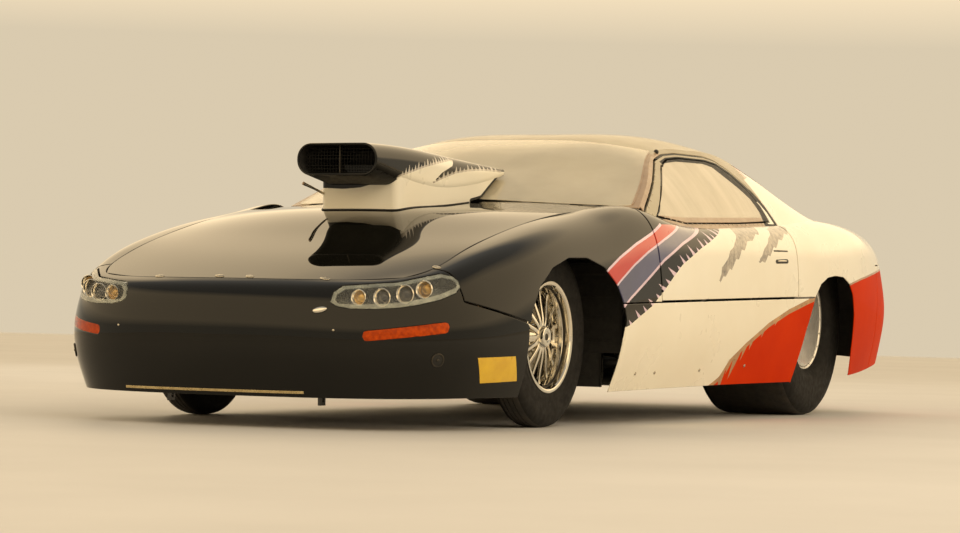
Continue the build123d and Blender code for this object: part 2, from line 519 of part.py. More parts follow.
# ---------------- rear axle ----------------
AXLE_X = -WHEELBASE
axle = cyl_y(AXLE_X, REAR_Z, -386, 386, 44) + Pos(AXLE_X, 0, REAR_Z) * Sphere(128) + rod((AXLE_X, 0, REAR_Z), (-2402, 0, 426), 56)
for y in (-300, 300):
    axle = axle + box(AXLE_X - 30, AXLE_X + 60, y - 14, y + 14, 300, 560)
save("rear_axle_housing", axle)
links = []
for y in (-300, 300):
    links += [rod((AXLE_X + 66, y, 320), (-2016, y, 300), 16), rod((AXLE_X + 66, y, 535), (-2016, y, 500), 16)]
links += [rod((AXLE_X - 58, y, 522), (AXLE_X - 90, y * 0.97, 578), 24) for y in (-250, 250)]
save("rear_links", links)
bars = []
for y in (-1, 1):
    k = tube_run([(AXLE_X - 60, y * 240, 340), (-4150, y * 140, 75)], 15) + tube_run([(AXLE_X - 60, y * 200, 470), (-3300, y * 180, 310), (-4080, y * 140, 90)], 11)
    k = k + cyl_y(-4150, 62, y * 118, y * 162, 50)
    bars.append(k)
for y in (-100, 100):
    bars[0] = bars[0] + (box(-3967, -3933, y - 6, y + 6, 106, 186) - cyl_y(-3950, 165, y - 10, y + 10, TIE_R))
wheelie = bars[0] + bars[1] + cyl_y(-3950, 112, -152, 152, 12) + box(AXLE_X - 80, AXLE_X - 47, -250, 250, 320, 490) - (Pos(AXLE_X, 0, REAR_Z) * Sphere(134))
save("wheelie_bar", wheelie)
tub = None
ang = [math.radians(k) for k in range(0, 181, 12)]
outer = [(AXLE_X + 424 * math.cos(a), REAR_Z + 424 * math.sin(a)) for a in ang]
inner = [(AXLE_X + 420.5 * math.cos(a), REAR_Z + 420.5 * math.sin(a)) for a in reversed(ang)]
tub = prism_xz([(AXLE_X + 424, REAR_Z - 40)] + outer + [(AXLE_X - 424, REAR_Z - 40), (AXLE_X - 420.5, REAR_Z - 40)] + inner + [(AXLE_X + 420.5, REAR_Z - 40)], 388, 786)
tub = tub + prism_xz([(AXLE_X + 424, REAR_Z + 60)] + outer[2:-2] + [(AXLE_X - 424, REAR_Z + 60)], 388, 391.5)
save("wheel_tubs", [tub, other(tub)])

# ---------------- cabin ----------------
SEAT_Y = 402.0
seat = loft([Plane((-1520, SEAT_Y, 300), x_dir=(0, 1, 0), z_dir=(0.12, 0, 1)) * RectangleRounded(430, 470, 60), Plane((-1520, SEAT_Y, 400), x_dir=(0, 1, 0), z_dir=(0.12, 0, 1)) * RectangleRounded(470, 520, 60)])
seat = seat - loft([Plane((-1500, SEAT_Y, 345), x_dir=(0, 1, 0), z_dir=(0.12, 0, 1)) * RectangleRounded(330, 420, 60), Plane((-1490, SEAT_Y, 430), x_dir=(0, 1, 0), z_dir=(0.12, 0, 1)) * RectangleRounded(380, 480, 60)])
back = [(-1690, 330), (-1760, 330), (-1900, 930), (-1865, 960), (-1820, 950)]
backrest = prism_xz(back, SEAT_Y - 235, SEAT_Y + 235)
backrest = backrest - prism_xz([(-1640, 380), (-1710, 380), (-1850, 985), (-1760, 985)], SEAT_Y - 185, SEAT_Y + 185)
seat = seat + backrest + prism_xz([(-1560, 360), (-1620, 440), (-1740, 700), (-1800, 700), (-1740, 360)], SEAT_Y - 235, SEAT_Y - 205) + prism_xz([(-1560, 360), (-1620, 440), (-1740, 700), (-1800, 700), (-1740, 360)], SEAT_Y + 205, SEAT_Y + 235)
seat = seat + box(-1740, -1330, SEAT_Y - 190, SEAT_Y - 160, FLOOR_Z + 5, 310) + box(-1740, -1330, SEAT_Y + 160, SEAT_Y + 190, FLOOR_Z + 5, 310)
save("driver_seat", seat)
DASH_X = (-1010, -840)
dash = prism_xz([(-830, 730), (-830, 850), (-880, 870), (-1010, 850), (-1020, 790), (-940, 730)], -640, 640)
save("dashboard", dash)
COL_A, COL_B = Vector(-700, SEAT_Y, 610), Vector(-1155, SEAT_Y, 760)
column = rod(COL_A, COL_B, 19) - prism_xz([(-822, 722), (-822, 858), (-880, 878), (-1018, 858), (-1028, 790), (-945, 722)], -648, 648)
column = rod((-1032, SEAT_Y, 760 - (1155 - 1032) * 150 / 455), COL_B, 19)
COL_DIR = (COL_B - COL_A).normalized()
save("steering_column", column)
WHEEL_C = COL_B + COL_DIR * 40
wp = Plane(origin=WHEEL_C, z_dir=COL_DIR)
s_wheel = wp * Torus(158, 13)
s_wheel = s_wheel + wp * Pos(0, 0, -12) * Cylinder(34, 26)
for k in (90, 210, 330):
    s_wheel = s_wheel + wp * Rot(0, 0, k) * Pos(88, 0, -4) * Box(150, 26, 6)
save("steering_wheel", s_wheel)

# ---------------- front suspension ----------------
front = []
for y in (-1, 1):
    arm = rod((150, y * 332, 300), (0, y * 572, 322), 15) + rod((-150, y * 332, 300), (0, y * 572, 322), 15) + rod((0, y * 572, 322), (0, y * 612, 322), 15) + rod((0, y * 612, 306), (0, y * 612, 338), 22)
    front.append(arm)
    front.append(rod((0, y * 612, 508), (-28, y * 600, 742), 25) + rod((-28, y * 600, 700), (-60, y * 598, 716), 14))
save("front_suspension", front)
save("steering_rack", cyl_y(112, 348, -430, 430, 20) + cyl_y(112, 348, -230, 230, 24))
knuckle = rod((0, KINGPIN_Y, 346), (0, KINGPIN_Y, 500), 22) + rod((0, KINGPIN_Y, FRONT_Z), (0, 676, FRONT_Z), 17) + rod((0, KINGPIN_Y - 6, 362), (118, KINGPIN_Y - 22, 352), 12)
knuckle = knuckle + box(-62, 62, 634, 640, 372, 458)
save("left_knuckle", knuckle)
save("right_knuckle", other(knuckle))


# ---------------- wheels ----------------
def tyre(x, z, yc, r, w, seat, shoulder, off, wall):
    """hollow tyre section about its middle yc; seat is the bead radius, off the bead's inset from the side"""
    h = w / 2
    out_side = [(h - off, seat), (h - off, seat + 15), (h - off * .35, seat + 30), (h, seat + 62), (h, r - shoulder * 1.7), (h - shoulder * .4, r - shoulder * .55), (h - shoulder * 1.1, r - 2)]
    in_side = [(h - shoulder * 1.3, r - wall), (h - wall * .9, r - shoulder * 1.7 - 4), (h - wall * .9, seat + 62), (h - off * .35 - wall * .8, seat + 32), (h - off - wall, seat + 18), (h - off - wall, seat)]
    right = [(yc + a, k) for a, k in out_side]
    left = [(yc - a, k) for a, k in reversed(out_side)]
    inner_left = [(yc - a, k) for a, k in reversed(in_side)]
    inner_right = [(yc + a, k) for a, k in in_side]
    return lathe_y(right + [(yc, r)] + left + inner_left + inner_right, x, z)


def barrel(y0, y1, r, well, x, z):
    """thin rim barrel between its two flanges"""
    prof = [(y0, r), (y0 + 4, r), (y0 + 5, r - 12), (y0 + 24, r - 12.5), (y0 + 36, r - well), (y1 - 36, r - well), (y1 - 24, r - 12.5), (y1 - 5, r - 12), (y1 - 4, r), (y1, r),
            (y1, r - 6), (y1 - 2, r - 18), (y1 - 26, r - 19), (y1 - 40, r - well - 6), (y0 + 40, r - well - 6), (y0 + 26, r - 19), (y0 + 2, r - 18), (y0, r - 6)]
    return lathe_y(prof, x, z)


f_tyre = tyre(0, FRONT_Z, FRONT_Y, FRONT_TYRE_R, FRONT_TYRE_W, FRONT_RIM_R - 11.5, 22, 9, 9)
save("left_front_tyre", f_tyre)
save("right_front_tyre", other(f_tyre))
f_rim = barrel(649.5, 754.5, FRONT_RIM_R, 30, 0, FRONT_Z)
f_rim = f_rim + cyl_y(0, FRONT_Z, 684, 744, 36) + cyl_y(0, FRONT_Z, 684, 692, 62)
f_rim = f_rim - cyl_y(0, FRONT_Z, 640, 700, 23)
for k in range(15):
    f_rim = f_rim + Pos(0, 0, FRONT_Z) * Rot(0, 24 * k, 0) * Pos(0, 712, 100) * Box(13, 12, 144)
save("left_front_rim", f_rim)
save("right_front_rim", other(f_rim))

r_tyre = tyre(AXLE_X, REAR_Z, REAR_Y, REAR_TYRE_R, REAR_TYRE_W, REAR_RIM_R - 11.5, 34, 39, 10)
save("rear_tyres", [r_tyre, other(r_tyre)])
R = REAR_RIM_R
r_rim = barrel(430, 788, R, 36, AXLE_X, REAR_Z)
r_rim = r_rim + lathe_y([(560, 0), (612, 0), (612, 60), (590, 90), (640, R - 39), (632, R - 39), (578, 90), (570, 70), (560, 60)], AXLE_X, REAR_Z) + cyl_y(AXLE_X, REAR_Z, 393, 640, 40)
save("rear_rims", [r_rim, other(r_rim)])

for n, s in NODES:
    b = s.bounding_box()
    print(n, s.is_valid, len(s.solids()), round(s.volume / 1e3), [round(k) for k in (b.min.X, b.max.X, b.min.Y, b.max.Y, b.min.Z, b.max.Z)])
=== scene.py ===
import json
import math
import bpy
import bmesh
import numpy as np
from mathutils import Matrix, Vector

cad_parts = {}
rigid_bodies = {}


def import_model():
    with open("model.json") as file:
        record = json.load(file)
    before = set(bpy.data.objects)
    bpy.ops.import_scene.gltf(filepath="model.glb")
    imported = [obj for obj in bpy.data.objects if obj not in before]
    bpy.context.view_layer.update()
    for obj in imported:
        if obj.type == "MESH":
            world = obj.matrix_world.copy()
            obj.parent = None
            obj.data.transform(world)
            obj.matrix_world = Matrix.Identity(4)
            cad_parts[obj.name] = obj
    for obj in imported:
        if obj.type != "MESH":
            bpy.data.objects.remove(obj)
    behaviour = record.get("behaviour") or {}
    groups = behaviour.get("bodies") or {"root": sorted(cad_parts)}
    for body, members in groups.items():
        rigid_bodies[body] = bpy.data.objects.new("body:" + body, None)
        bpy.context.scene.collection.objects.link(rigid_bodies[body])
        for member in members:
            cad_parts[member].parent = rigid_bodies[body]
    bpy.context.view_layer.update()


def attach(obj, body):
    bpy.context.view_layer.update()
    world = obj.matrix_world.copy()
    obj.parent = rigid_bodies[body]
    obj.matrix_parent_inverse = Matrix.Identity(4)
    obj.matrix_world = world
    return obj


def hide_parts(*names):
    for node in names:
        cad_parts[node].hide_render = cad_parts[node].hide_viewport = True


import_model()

# Two-door drag racing coupe, parked on its four wheels.
# The tables are in the body's own level frame, in mm: x forward from the front axle,
# y to the left, z up.  ground() sets points down on the floor, in metres.
# ---------------- driving dimensions ----------------
WHEELBASE = 2638.0
RAKE = math.radians(1.563)
DROP = 87.0
SLIDE = -11.3
X_MID = -1565.0            # middle of the overall length, in the ground frame
SKIN = 4.0                 # body panel thickness
GAP = 2.5                  # half of a shut line
FRONT_Z, REAR_Z = 415.2, 430.0
FRONT_TYRE_R, FRONT_TYRE_W = 328.0, 112.0
FRONT_RIM_R, FRONT_Y = 203.0, 702.0
KINGPIN_Y = 612.0
REAR_TYRE_R, REAR_TYRE_W = 414.6, 420.0
REAR_RIM_R, REAR_Y = 214.0, 612.0



# ---------------- body side sections, nose centre to tail centre ----------------
# columns: (x...), (y...), (z...), each from the panel's top edge down to its bottom edge
SIDE_ROWS = [
    ((985, 1024, 1052, 1070, 1078, 1070, 1052, 1034), (0,) * 8, (622, 603, 568, 505, 430, 350, 282, 224)),
    ((972, 1012, 1040, 1058, 1066, 1058, 1040, 1022), (250, 252, 254, 256, 258, 258, 256, 254), (621, 602, 567, 504, 430, 350, 282, 224)),
    ((925, 968, 998, 1016, 1024, 1018, 1000, 984), (452, 460, 466, 472, 476, 474, 468, 460), (622, 604, 567, 503, 430, 350, 282, 224)),
    ((850, 892, 922, 938, 944, 938, 924, 912), (596, 612, 624, 634, 640, 638, 626, 612), (632, 612, 570, 503, 430, 350, 282, 224)),
    ((735, 770, 795, 808, 812, 808, 798, 790), (650, 694, 722, 742, 752, 748, 732, 712), (662, 640, 590, 515, 440, 355, 285, 223)),
    ((560, 572, 590, 600, 604, 602, 598, 594), (664, 738, 784, 814, 828, 824, 806, 784), (716, 700, 640, 550, 460, 370, 290, 221)),
    ((330, 332, 336, 340, 342, 342, 342, 342), (668, 756, 822, 856, 868, 866, 850, 826), (772, 760, 700, 600, 500, 400, 300, 216)),
    ((0,) * 8, (676, 760, 830, 868, 878, 876, 858, 832), (832, 820, 768, 670, 560, 430, 310, 210)),
    ((-330,) * 8, (696, 764, 832, 872, 882, 878, 856, 820), (872, 862, 812, 720, 600, 450, 315, 206)),
    ((-700,) * 8, (760, 800, 842, 876, 888, 882, 850, 806), (896, 886, 850, 770, 640, 470, 320, 200)),
    ((-900,) * 8, (800, 826, 855, 881, 892, 886, 855, 811), (858, 848, 824, 760, 640, 475, 321, 198)),
    ((-1150,) * 8, (828, 846, 867, 887, 896, 891, 859, 816), (826, 816, 797, 750, 645, 480, 322, 195)),
    ((-1700,) * 8, (834, 853, 876, 898, 908, 904, 876, 838), (829, 819, 800, 752, 650, 490, 325, 188)),
    ((-2200,) * 8, (832, 854, 882, 912, 926, 924, 902, 872), (843, 833, 812, 762, 660, 500, 330, 180)),
    ((-2650,) * 8, (796, 828, 872, 916, 936, 935, 916, 888), (866, 857, 832, 775, 665, 500, 330, 178)),
    ((-3050,) * 8, (720, 780, 850, 898, 918, 918, 900, 874), (860, 850, 820, 765, 650, 488, 330, 186)),
    ((-3400, -3400, -3396, -3392, -3390, -3390, -3388, -3386), (660, 735, 800, 845, 870, 880, 866, 840), (846, 828, 785, 725, 630, 475, 330, 206)),
    ((-3600, -3608, -3614, -3618, -3622, -3630, -3618, -3602), (600, 670, 728, 762, 782, 806, 794, 776), (838, 810, 765, 708, 630, 472, 335, 228)),
    ((-3680, -3694, -3704, -3712, -3722, -3744, -3728, -3708), (400, 430, 460, 484, 500, 520, 510, 496), (836, 812, 770, 712, 625, 470, 338, 246)),
    ((-3700, -3716, -3728, -3736, -3746, -3770, -3754, -3734), (0,) * 8, (838, 814, 774, 714, 625, 470, 340, 250)),
]
# ---------------- greenhouse cap, windscreen base to rear glass base ----------------
# columns: centre, quarter, edge, as (x, y, z)
CAP_ROWS = [
    ((-650, 0, 921), (-670, 355, 908), (-790, 765, 893)),
    ((-985, 0, 1058), (-1005, 345, 1048), (-1090, 676, 1018)),
    ((-1300, 0, 1176), (-1325, 335, 1168), (-1400, 578, 1130)),
    ((-1680, 0, 1212), (-1680, 345, 1203), (-1680, 587, 1145)),
    ((-2080, 0, 1195), (-2080, 350, 1182), (-2080, 592, 1126)),
    ((-2300, 0, 1150), (-2290, 360, 1135), (-2258, 610, 1082)),
    ((-2560, 0, 1065), (-2540, 385, 1052), (-2449, 640, 1020)),
    ((-2960, 0, 902), (-2935, 430, 898), (-2830, 690, 872)),
]
# hood centre line, front edge to windscreen base: (x, z)
HOOD_CENTRE = [(985, 622), (850, 664), (690, 710), (430, 779), (90, 866), (-230, 889), (-638, 917)]


def spline_weights(t, u):
    """weights of a natural cubic spline with knots t, at the values u"""
    n = len(t)
    h = np.diff(t)
    a = np.zeros((n, n))
    b = np.zeros((n, n))
    a[0, 0] = a[-1, -1] = 1
    for i in range(1, n - 1):
        a[i, i - 1], a[i, i], a[i, i + 1] = h[i - 1], 2 * (h[i - 1] + h[i]), h[i]
        b[i, i - 1], b[i, i], b[i, i + 1] = 6 / h[i - 1], -6 / h[i - 1] - 6 / h[i], 6 / h[i]
    m = np.linalg.solve(a, b)
    u = np.atleast_1d(np.asarray(u, float))
    k = np.clip(np.searchsorted(t, u, side="right") - 1, 0, n - 2)
    hh = h[k]
    p, q = (t[k + 1] - u) / hh, (u - t[k]) / hh
    w = np.zeros((len(u), n))
    r = np.arange(len(u))
    w[r, k] += p
    w[r, k + 1] += q
    w += ((p ** 3 - p) * hh ** 2 / 6)[:, None] * m[k] + ((q ** 3 - q) * hh ** 2 / 6)[:, None] * m[k + 1]
    return w


class Net:
    """smooth surface through a table of points; u runs over rows, v over columns"""

    def __init__(self, rows):
        self.p = np.array(rows, float)
        self.tu = self.knots(self.p)
        self.tv = self.knots(np.swapaxes(self.p, 0, 1))

    @staticmethod
    def knots(p):
        d = np.linalg.norm(np.diff(p, axis=0), axis=2).mean(1)
        t = np.concatenate([[0], np.cumsum(d)])
        return t / t[-1]

    def grid(self, u, v):
        return np.einsum("ai,bj,ijk->abk", spline_weights(self.tu, u), spline_weights(self.tv, v), self.p)

    def normals(self, u, v, e=1e-4):
        u, v = np.asarray(u, float), np.asarray(v, float)
        du = self.grid(np.clip(u + e, 0, 1), v) - self.grid(np.clip(u - e, 0, 1), v)
        dv = self.grid(u, np.clip(v + e, 0, 1)) - self.grid(u, np.clip(v - e, 0, 1))
        n = np.cross(du, dv)
        return n / np.linalg.norm(n, axis=2)[:, :, None]


MIRROR = np.array([1, -1, 1])
half = [list(zip(*r)) for r in SIDE_ROWS]
half = [np.array(r, float) for r in half]
ring = [half[i] * MIRROR for i in range(len(half) - 1, 0, -1)] + half
ring = [half[-2]] + ring + [half[-2] * MIRROR]
RING = Net(ring)
N_HALF = len(half)
U_ROW = {i: RING.tu[N_HALF + i] for i in range(N_HALF)}          # left side rows
U_ROW.update({-i: RING.tu[N_HALF - i] for i in range(1, N_HALF)})  # right side rows

cap = []
for c, m, e in CAP_ROWS:
    c, m, e = (np.array(k, float) for k in (c, m, e))
    cap.append([e * MIRROR, m * MIRROR, c, m, e])
CAP = Net(cap)

# hood: rows follow the fender line, columns run across
cowl = RING.grid(np.linspace(U_ROW[9], U_ROW[10], 60), [0])[:, 0]
cowl = cowl[np.argmin(abs(cowl[:, 0] + 772))]
hood = []
for i in range(len(HOOD_CENTRE)):
    side = half[3 + i][0] if i < 6 else cowl
    row = []
    for t in (-1, -0.75, -0.5, -0.25, 0, 0.25, 0.5, 0.75, 1):
        s, a = (1 if t >= 0 else -1), abs(t)
        if i == 0:
            tt = {0: 0, .25: U_ROW[0] + .62 * (U_ROW[1] - U_ROW[0]), .5: U_ROW[1] + .36 * (U_ROW[2] - U_ROW[1]),
                  .75: U_ROW[2] - .06 * (U_ROW[2] - U_ROW[1]), 1: U_ROW[3]}[a]
            q = RING.grid([U_ROW[0] if a == 0 else tt], [0])[0, 0]
        else:
            cx, cz = HOOD_CENTRE[i]
            sx, sy, sz = side
            q = np.array([cx + (sx - cx) * a ** 2.2, sy * a, cz + (sz - cz) * a ** 2.2])
        row.append(q * np.array([1, s, 1]))
    hood.append(row)
HOOD = Net(hood)

# side of the greenhouse: from the belt line up to the cap's edge, per station
SIDE_STATIONS = [-790, -900, -1090, -1400, -1680, -2080, -2258, -2449, -2640, -2830]
cap_edge = np.array([r[2] for r in CAP_ROWS], float)
e_dense = CAP.grid(np.linspace(0, 1, 400), [1])[:, 0]
b_dense = RING.grid(np.linspace(U_ROW[8], U_ROW[16], 400), [0])[:, 0]
side_glass = []
for x in SIDE_STATIONS:
    i = np.argmin(abs(e_dense[:, 0] - x))
    j = np.argmin(abs(b_dense[:, 0] - x))
    top, bot = e_dense[i], b_dense[j]
    bow = 0.035 * np.linalg.norm(top - bot)
    row = []
    for t in (0, .33, .67, 1):
        q = bot + (top - bot) * t
        q = q + np.array([0, 1, 0.45]) * bow * 4 * t * (1 - t)
        row.append(q)
    side_glass.append(row)
GLASS = Net(side_glass)

# deck between the quarters, rear glass base to tail
deck = []
for t in (0, .33, .67, 1):
    row = []
    for a in (-1, -.5, 0, .5, 1):
        s = 1 if a >= 0 else -1
        f = {0: (-2960, 0, 902), .5: (-2948, 400, 898), 1: (-2850, 690, 871)}[abs(a)]
        r = {0: (-3698, 0, 840), .5: (-3690, 300, 839), 1: (-3600, 600, 840)}[abs(a)]
        q = np.array(f, float) * (1 - t) + np.array(r, float) * t
        q[2] += 12 * 4 * t * (1 - t) * (1 - abs(a)) - 6 * 4 * t * (1 - t) * abs(a)
        if abs(a) == 1:
            q[1] = {0: 690, .33: 702, .67: 665, 1: 600}[t]
            q[0] = {0: -2850, .33: -3100, .67: -3360, 1: -3600}[t]
            q[2] = {0: 872, .33: 860, .67: 847, 1: 838}[t]
        q[1] *= s
        row.append(q)
    deck.append(row)
DECK = Net(deck)



C_R, S_R = math.cos(RAKE), math.sin(RAKE)


def ground(p):
    """level frame in mm to the row frame in metres"""
    p = np.asarray(p, float)
    x = p[..., 0] * C_R + p[..., 2] * S_R + SLIDE - X_MID
    z = -p[..., 0] * S_R + p[..., 2] * C_R - DROP
    return np.stack([x, p[..., 1], z], -1) / 1000


def turned(n):
    """directions from the level frame to the row frame"""
    n = np.asarray(n, float)
    return np.stack([n[..., 0] * C_R + n[..., 2] * S_R, n[..., 1], -n[..., 0] * S_R + n[..., 2] * C_R], -1)


def unit(v):
    v = np.asarray(v, float)
    return v / np.maximum(np.linalg.norm(v, axis=-1, keepdims=True), 1e-12)


# ---------------- sheets of triangles on the nets ----------------
def sheet(net, u0, u1, v0, v1, step=15.0, flip=-1, move=0.0):
    a = net.grid(np.linspace(u0, u1, 80), [(v0 + v1) / 2])[:, 0]
    b = net.grid([(u0 + u1) / 2], np.linspace(v0, v1, 80))[0]
    nu = max(3, int(np.linalg.norm(np.diff(a, axis=0), axis=1).sum() / step) + 1)
    nv = max(3, int(np.linalg.norm(np.diff(b, axis=0), axis=1).sum() / step) + 1)
    u, v = np.linspace(u0, u1, nu), np.linspace(v0, v1, nv)
    n = (net.normals(u, v) * flip).reshape(-1, 3)
    p = net.grid(u, v).reshape(-1, 3) + n * move
    i, j = np.meshgrid(np.arange(nu - 1), np.arange(nv - 1), indexing="ij")
    k = (i * nv + j).ravel()
    t = np.concatenate([np.stack([k, k + nv, k + nv + 1], 1), np.stack([k, k + nv + 1, k + 1], 1)])
    if flip < 0:
        t = t[:, ::-1]
    lu, lv = [np.linalg.norm(np.diff(x, axis=0), axis=1).sum() for x in (net.grid(np.linspace(0, 1, 80), [.5])[:, 0], net.grid([.5], np.linspace(0, 1, 80))[0])]
    q = np.stack(np.broadcast_arrays((u * lu)[:, None], (v * lv)[None, :]), -1).reshape(-1, 2)
    return {"p": p, "n": n, "q": q, "t": t.copy(), "c": np.zeros(len(t), int)}


def grid_sheet(rows, wrap=False, flip=1):
    """triangles over a table of points; wrap joins the last column to the first"""
    P = np.array(rows, float)
    nu, nv = P.shape[:2]
    du = np.gradient(P, axis=0)
    dv = (np.roll(P, -1, 1) - np.roll(P, 1, 1)) if wrap else np.gradient(P, axis=1)
    n = unit(np.cross(du, dv)) * flip
    i, j = np.meshgrid(np.arange(nu - 1), np.arange(nv if wrap else nv - 1), indexing="ij")
    a, b = (i * nv + j).ravel(), (i * nv + (j + 1) % nv).ravel()
    t = np.concatenate([np.stack([a, a + nv, b + nv], 1), np.stack([a, b + nv, b], 1)])
    if flip < 0:
        t = t[:, ::-1]
    q = np.stack(np.meshgrid(np.arange(nu), np.arange(nv), indexing="ij"), -1).reshape(-1, 2).astype(float)
    return {"p": P.reshape(-1, 3), "n": n.reshape(-1, 3), "q": q, "t": t.copy(), "c": np.zeros(len(t), int)}


def mirrored(m):
    k = np.array([1, -1, 1.0])
    return {"p": m["p"] * k, "n": m["n"] * k, "q": m["q"].copy(), "t": m["t"][:, ::-1].copy(), "c": m["c"].copy()}


def merged(*ms):
    out, base = {"p": [], "n": [], "q": [], "t": [], "c": []}, 0
    for m in ms:
        out["p"].append(m["p"]); out["n"].append(m["n"]); out["q"].append(m["q"]); out["t"].append(m["t"] + base); out["c"].append(m["c"])
        base += len(m["p"])
    return {k: np.concatenate(v) for k, v in out.items()}


def picked(m, rows):
    """only some of the triangles, with the unused points dropped"""
    t = m["t"][rows]
    used, inv = np.unique(t, return_inverse=True)
    return {"p": m["p"][used], "n": m["n"][used], "q": m["q"][used], "t": inv.reshape(t.shape), "c": m["c"][rows]}


def cut(m, f, where=None, eps=0.7):
    """splits the triangles along f = 0; says which ones have f < 0"""
    f = np.where(np.abs(f) < eps, 0.0, f)
    T, c = m["t"], m["c"]
    where = np.ones(len(T), bool) if where is None else where
    s = np.sign(f).astype(int)
    st = s[T]
    mixed = where & (st.max(1) > 0) & (st.min(1) < 0)
    inside = where & (st.min(1) < 0) & (st.max(1) <= 0)
    base, ep, en, eq, edge = len(m["p"]), [], [], [], {}
    nt, nc, ni = [], [], []

    def mid(a, b):
        k = (a, b) if a < b else (b, a)
        if k not in edge:
            w = f[k[0]] / (f[k[0]] - f[k[1]])
            edge[k] = base + len(ep)
            ep.append(m["p"][k[0]] * (1 - w) + m["p"][k[1]] * w)
            en.append(m["n"][k[0]] * (1 - w) + m["n"][k[1]] * w)
            eq.append(m["q"][k[0]] * (1 - w) + m["q"][k[1]] * w)
        return edge[k]

    for row in np.nonzero(mixed)[0]:
        tri, sg = [int(k) for k in T[row]], st[row]
        z = np.nonzero(sg == 0)[0]
        if len(z) == 1:
            k = z[0]
            a, b, d = tri[k], tri[(k + 1) % 3], tri[(k + 2) % 3]
            q = mid(b, d)
            parts = [((a, b, q), s[b]), ((a, q, d), s[d])]
        else:
            k = 0 if sg[1] == sg[2] else (1 if sg[0] == sg[2] else 2)
            a, b, d = tri[k], tri[(k + 1) % 3], tri[(k + 2) % 3]
            q, r = mid(a, b), mid(a, d)
            parts = [((a, q, r), s[a]), ((q, b, d), s[b]), ((q, d, r), s[b])]
        for t3, side in parts:
            nt.append(t3)
            nc.append(c[row])
            ni.append(side < 0)
    touched = np.zeros(len(T), bool)
    if edge:
        big = np.int64(1 << 31)
        keys = np.array([a * big + b for a, b in edge], np.int64)
        e = np.sort(np.stack([T[:, [0, 1]], T[:, [1, 2]], T[:, [2, 0]]], 1), axis=2).astype(np.int64)
        touched = ~mixed & np.isin(e[..., 0] * big + e[..., 1], keys).any(1)
        for row in np.nonzero(touched)[0]:
            stack = [tuple(int(k) for k in T[row])]
            while stack:
                t3 = stack.pop()
                for k in range(3):
                    a, b, d = t3[k], t3[(k + 1) % 3], t3[(k + 2) % 3]
                    key = (a, b) if a < b else (b, a)
                    if key in edge:
                        stack += [(a, edge[key], d), (edge[key], b, d)]
                        break
                else:
                    nt.append(t3)
                    nc.append(c[row])
                    ni.append(inside[row])
    keep = ~mixed & ~touched
    out = {
        "p": np.concatenate([m["p"], np.array(ep).reshape(-1, 3)]),
        "n": unit(np.concatenate([m["n"], np.array(en).reshape(-1, 3)])),
        "q": np.concatenate([m["q"], np.array(eq).reshape(-1, 2)]),
        "t": np.concatenate([T[keep], np.array(nt, int).reshape(-1, 3)]),
        "c": np.concatenate([c[keep], np.array(nc, int)]),
    }
    return out, np.concatenate([inside[keep], np.array(ni, bool)])


def sdf(q, poly):
    """distance to a closed outline, negative inside"""
    a = np.array(poly, float)
    b = np.roll(a, -1, 0)
    d, wind = np.full(len(q), 1e9), np.zeros(len(q), bool)
    for (ax, ay), (bx, by) in zip(a, b):
        e, w = np.array([bx - ax, by - ay]), q - (ax, ay)
        t = np.clip((w @ e) / max(e @ e, 1e-9), 0, 1)
        d = np.minimum(d, np.linalg.norm(w - t[:, None] * e, axis=1))
        if by != ay:
            cross = (ay > q[:, 1]) != (by > q[:, 1])
            wind ^= cross & (q[:, 0] < (bx - ax) * (q[:, 1] - ay) / (by - ay) + ax)
    return np.where(wind, -d, d)


def line_dist(q, line):
    """distance to an open line"""
    d = np.full(len(q), 1e9)
    for (ax, ay), (bx, by) in zip(line[:-1], line[1:]):
        e, w = np.array([bx - ax, by - ay], float), q - (ax, ay)
        t = np.clip((w @ e) / max(e @ e, 1e-9), 0, 1)
        d = np.minimum(d, np.linalg.norm(w - t[:, None] * e, axis=1))
    return d


H = math.sqrt(.5)
# ways of looking at a sheet: across, up, and the way it is seen
AXES = {"xz": ((1, 0, 0), (0, 0, 1), (0, 1, 0)), "yz": ((0, 1, 0), (0, 0, 1), (1, 0, 0)), "xy": ((1, 0, 0), (0, 1, 0), (0, 0, 1)),
        "qz": ((-H, H, 0), (0, 0, 1), (H, H, 0)), "pz": ((-H, -H, 0), (0, 0, 1), (H, -H, 0))}


def seen(m, axes):
    return m["q"] if axes == "uv" else m["p"] @ np.array(AXES[axes][:2], float).T


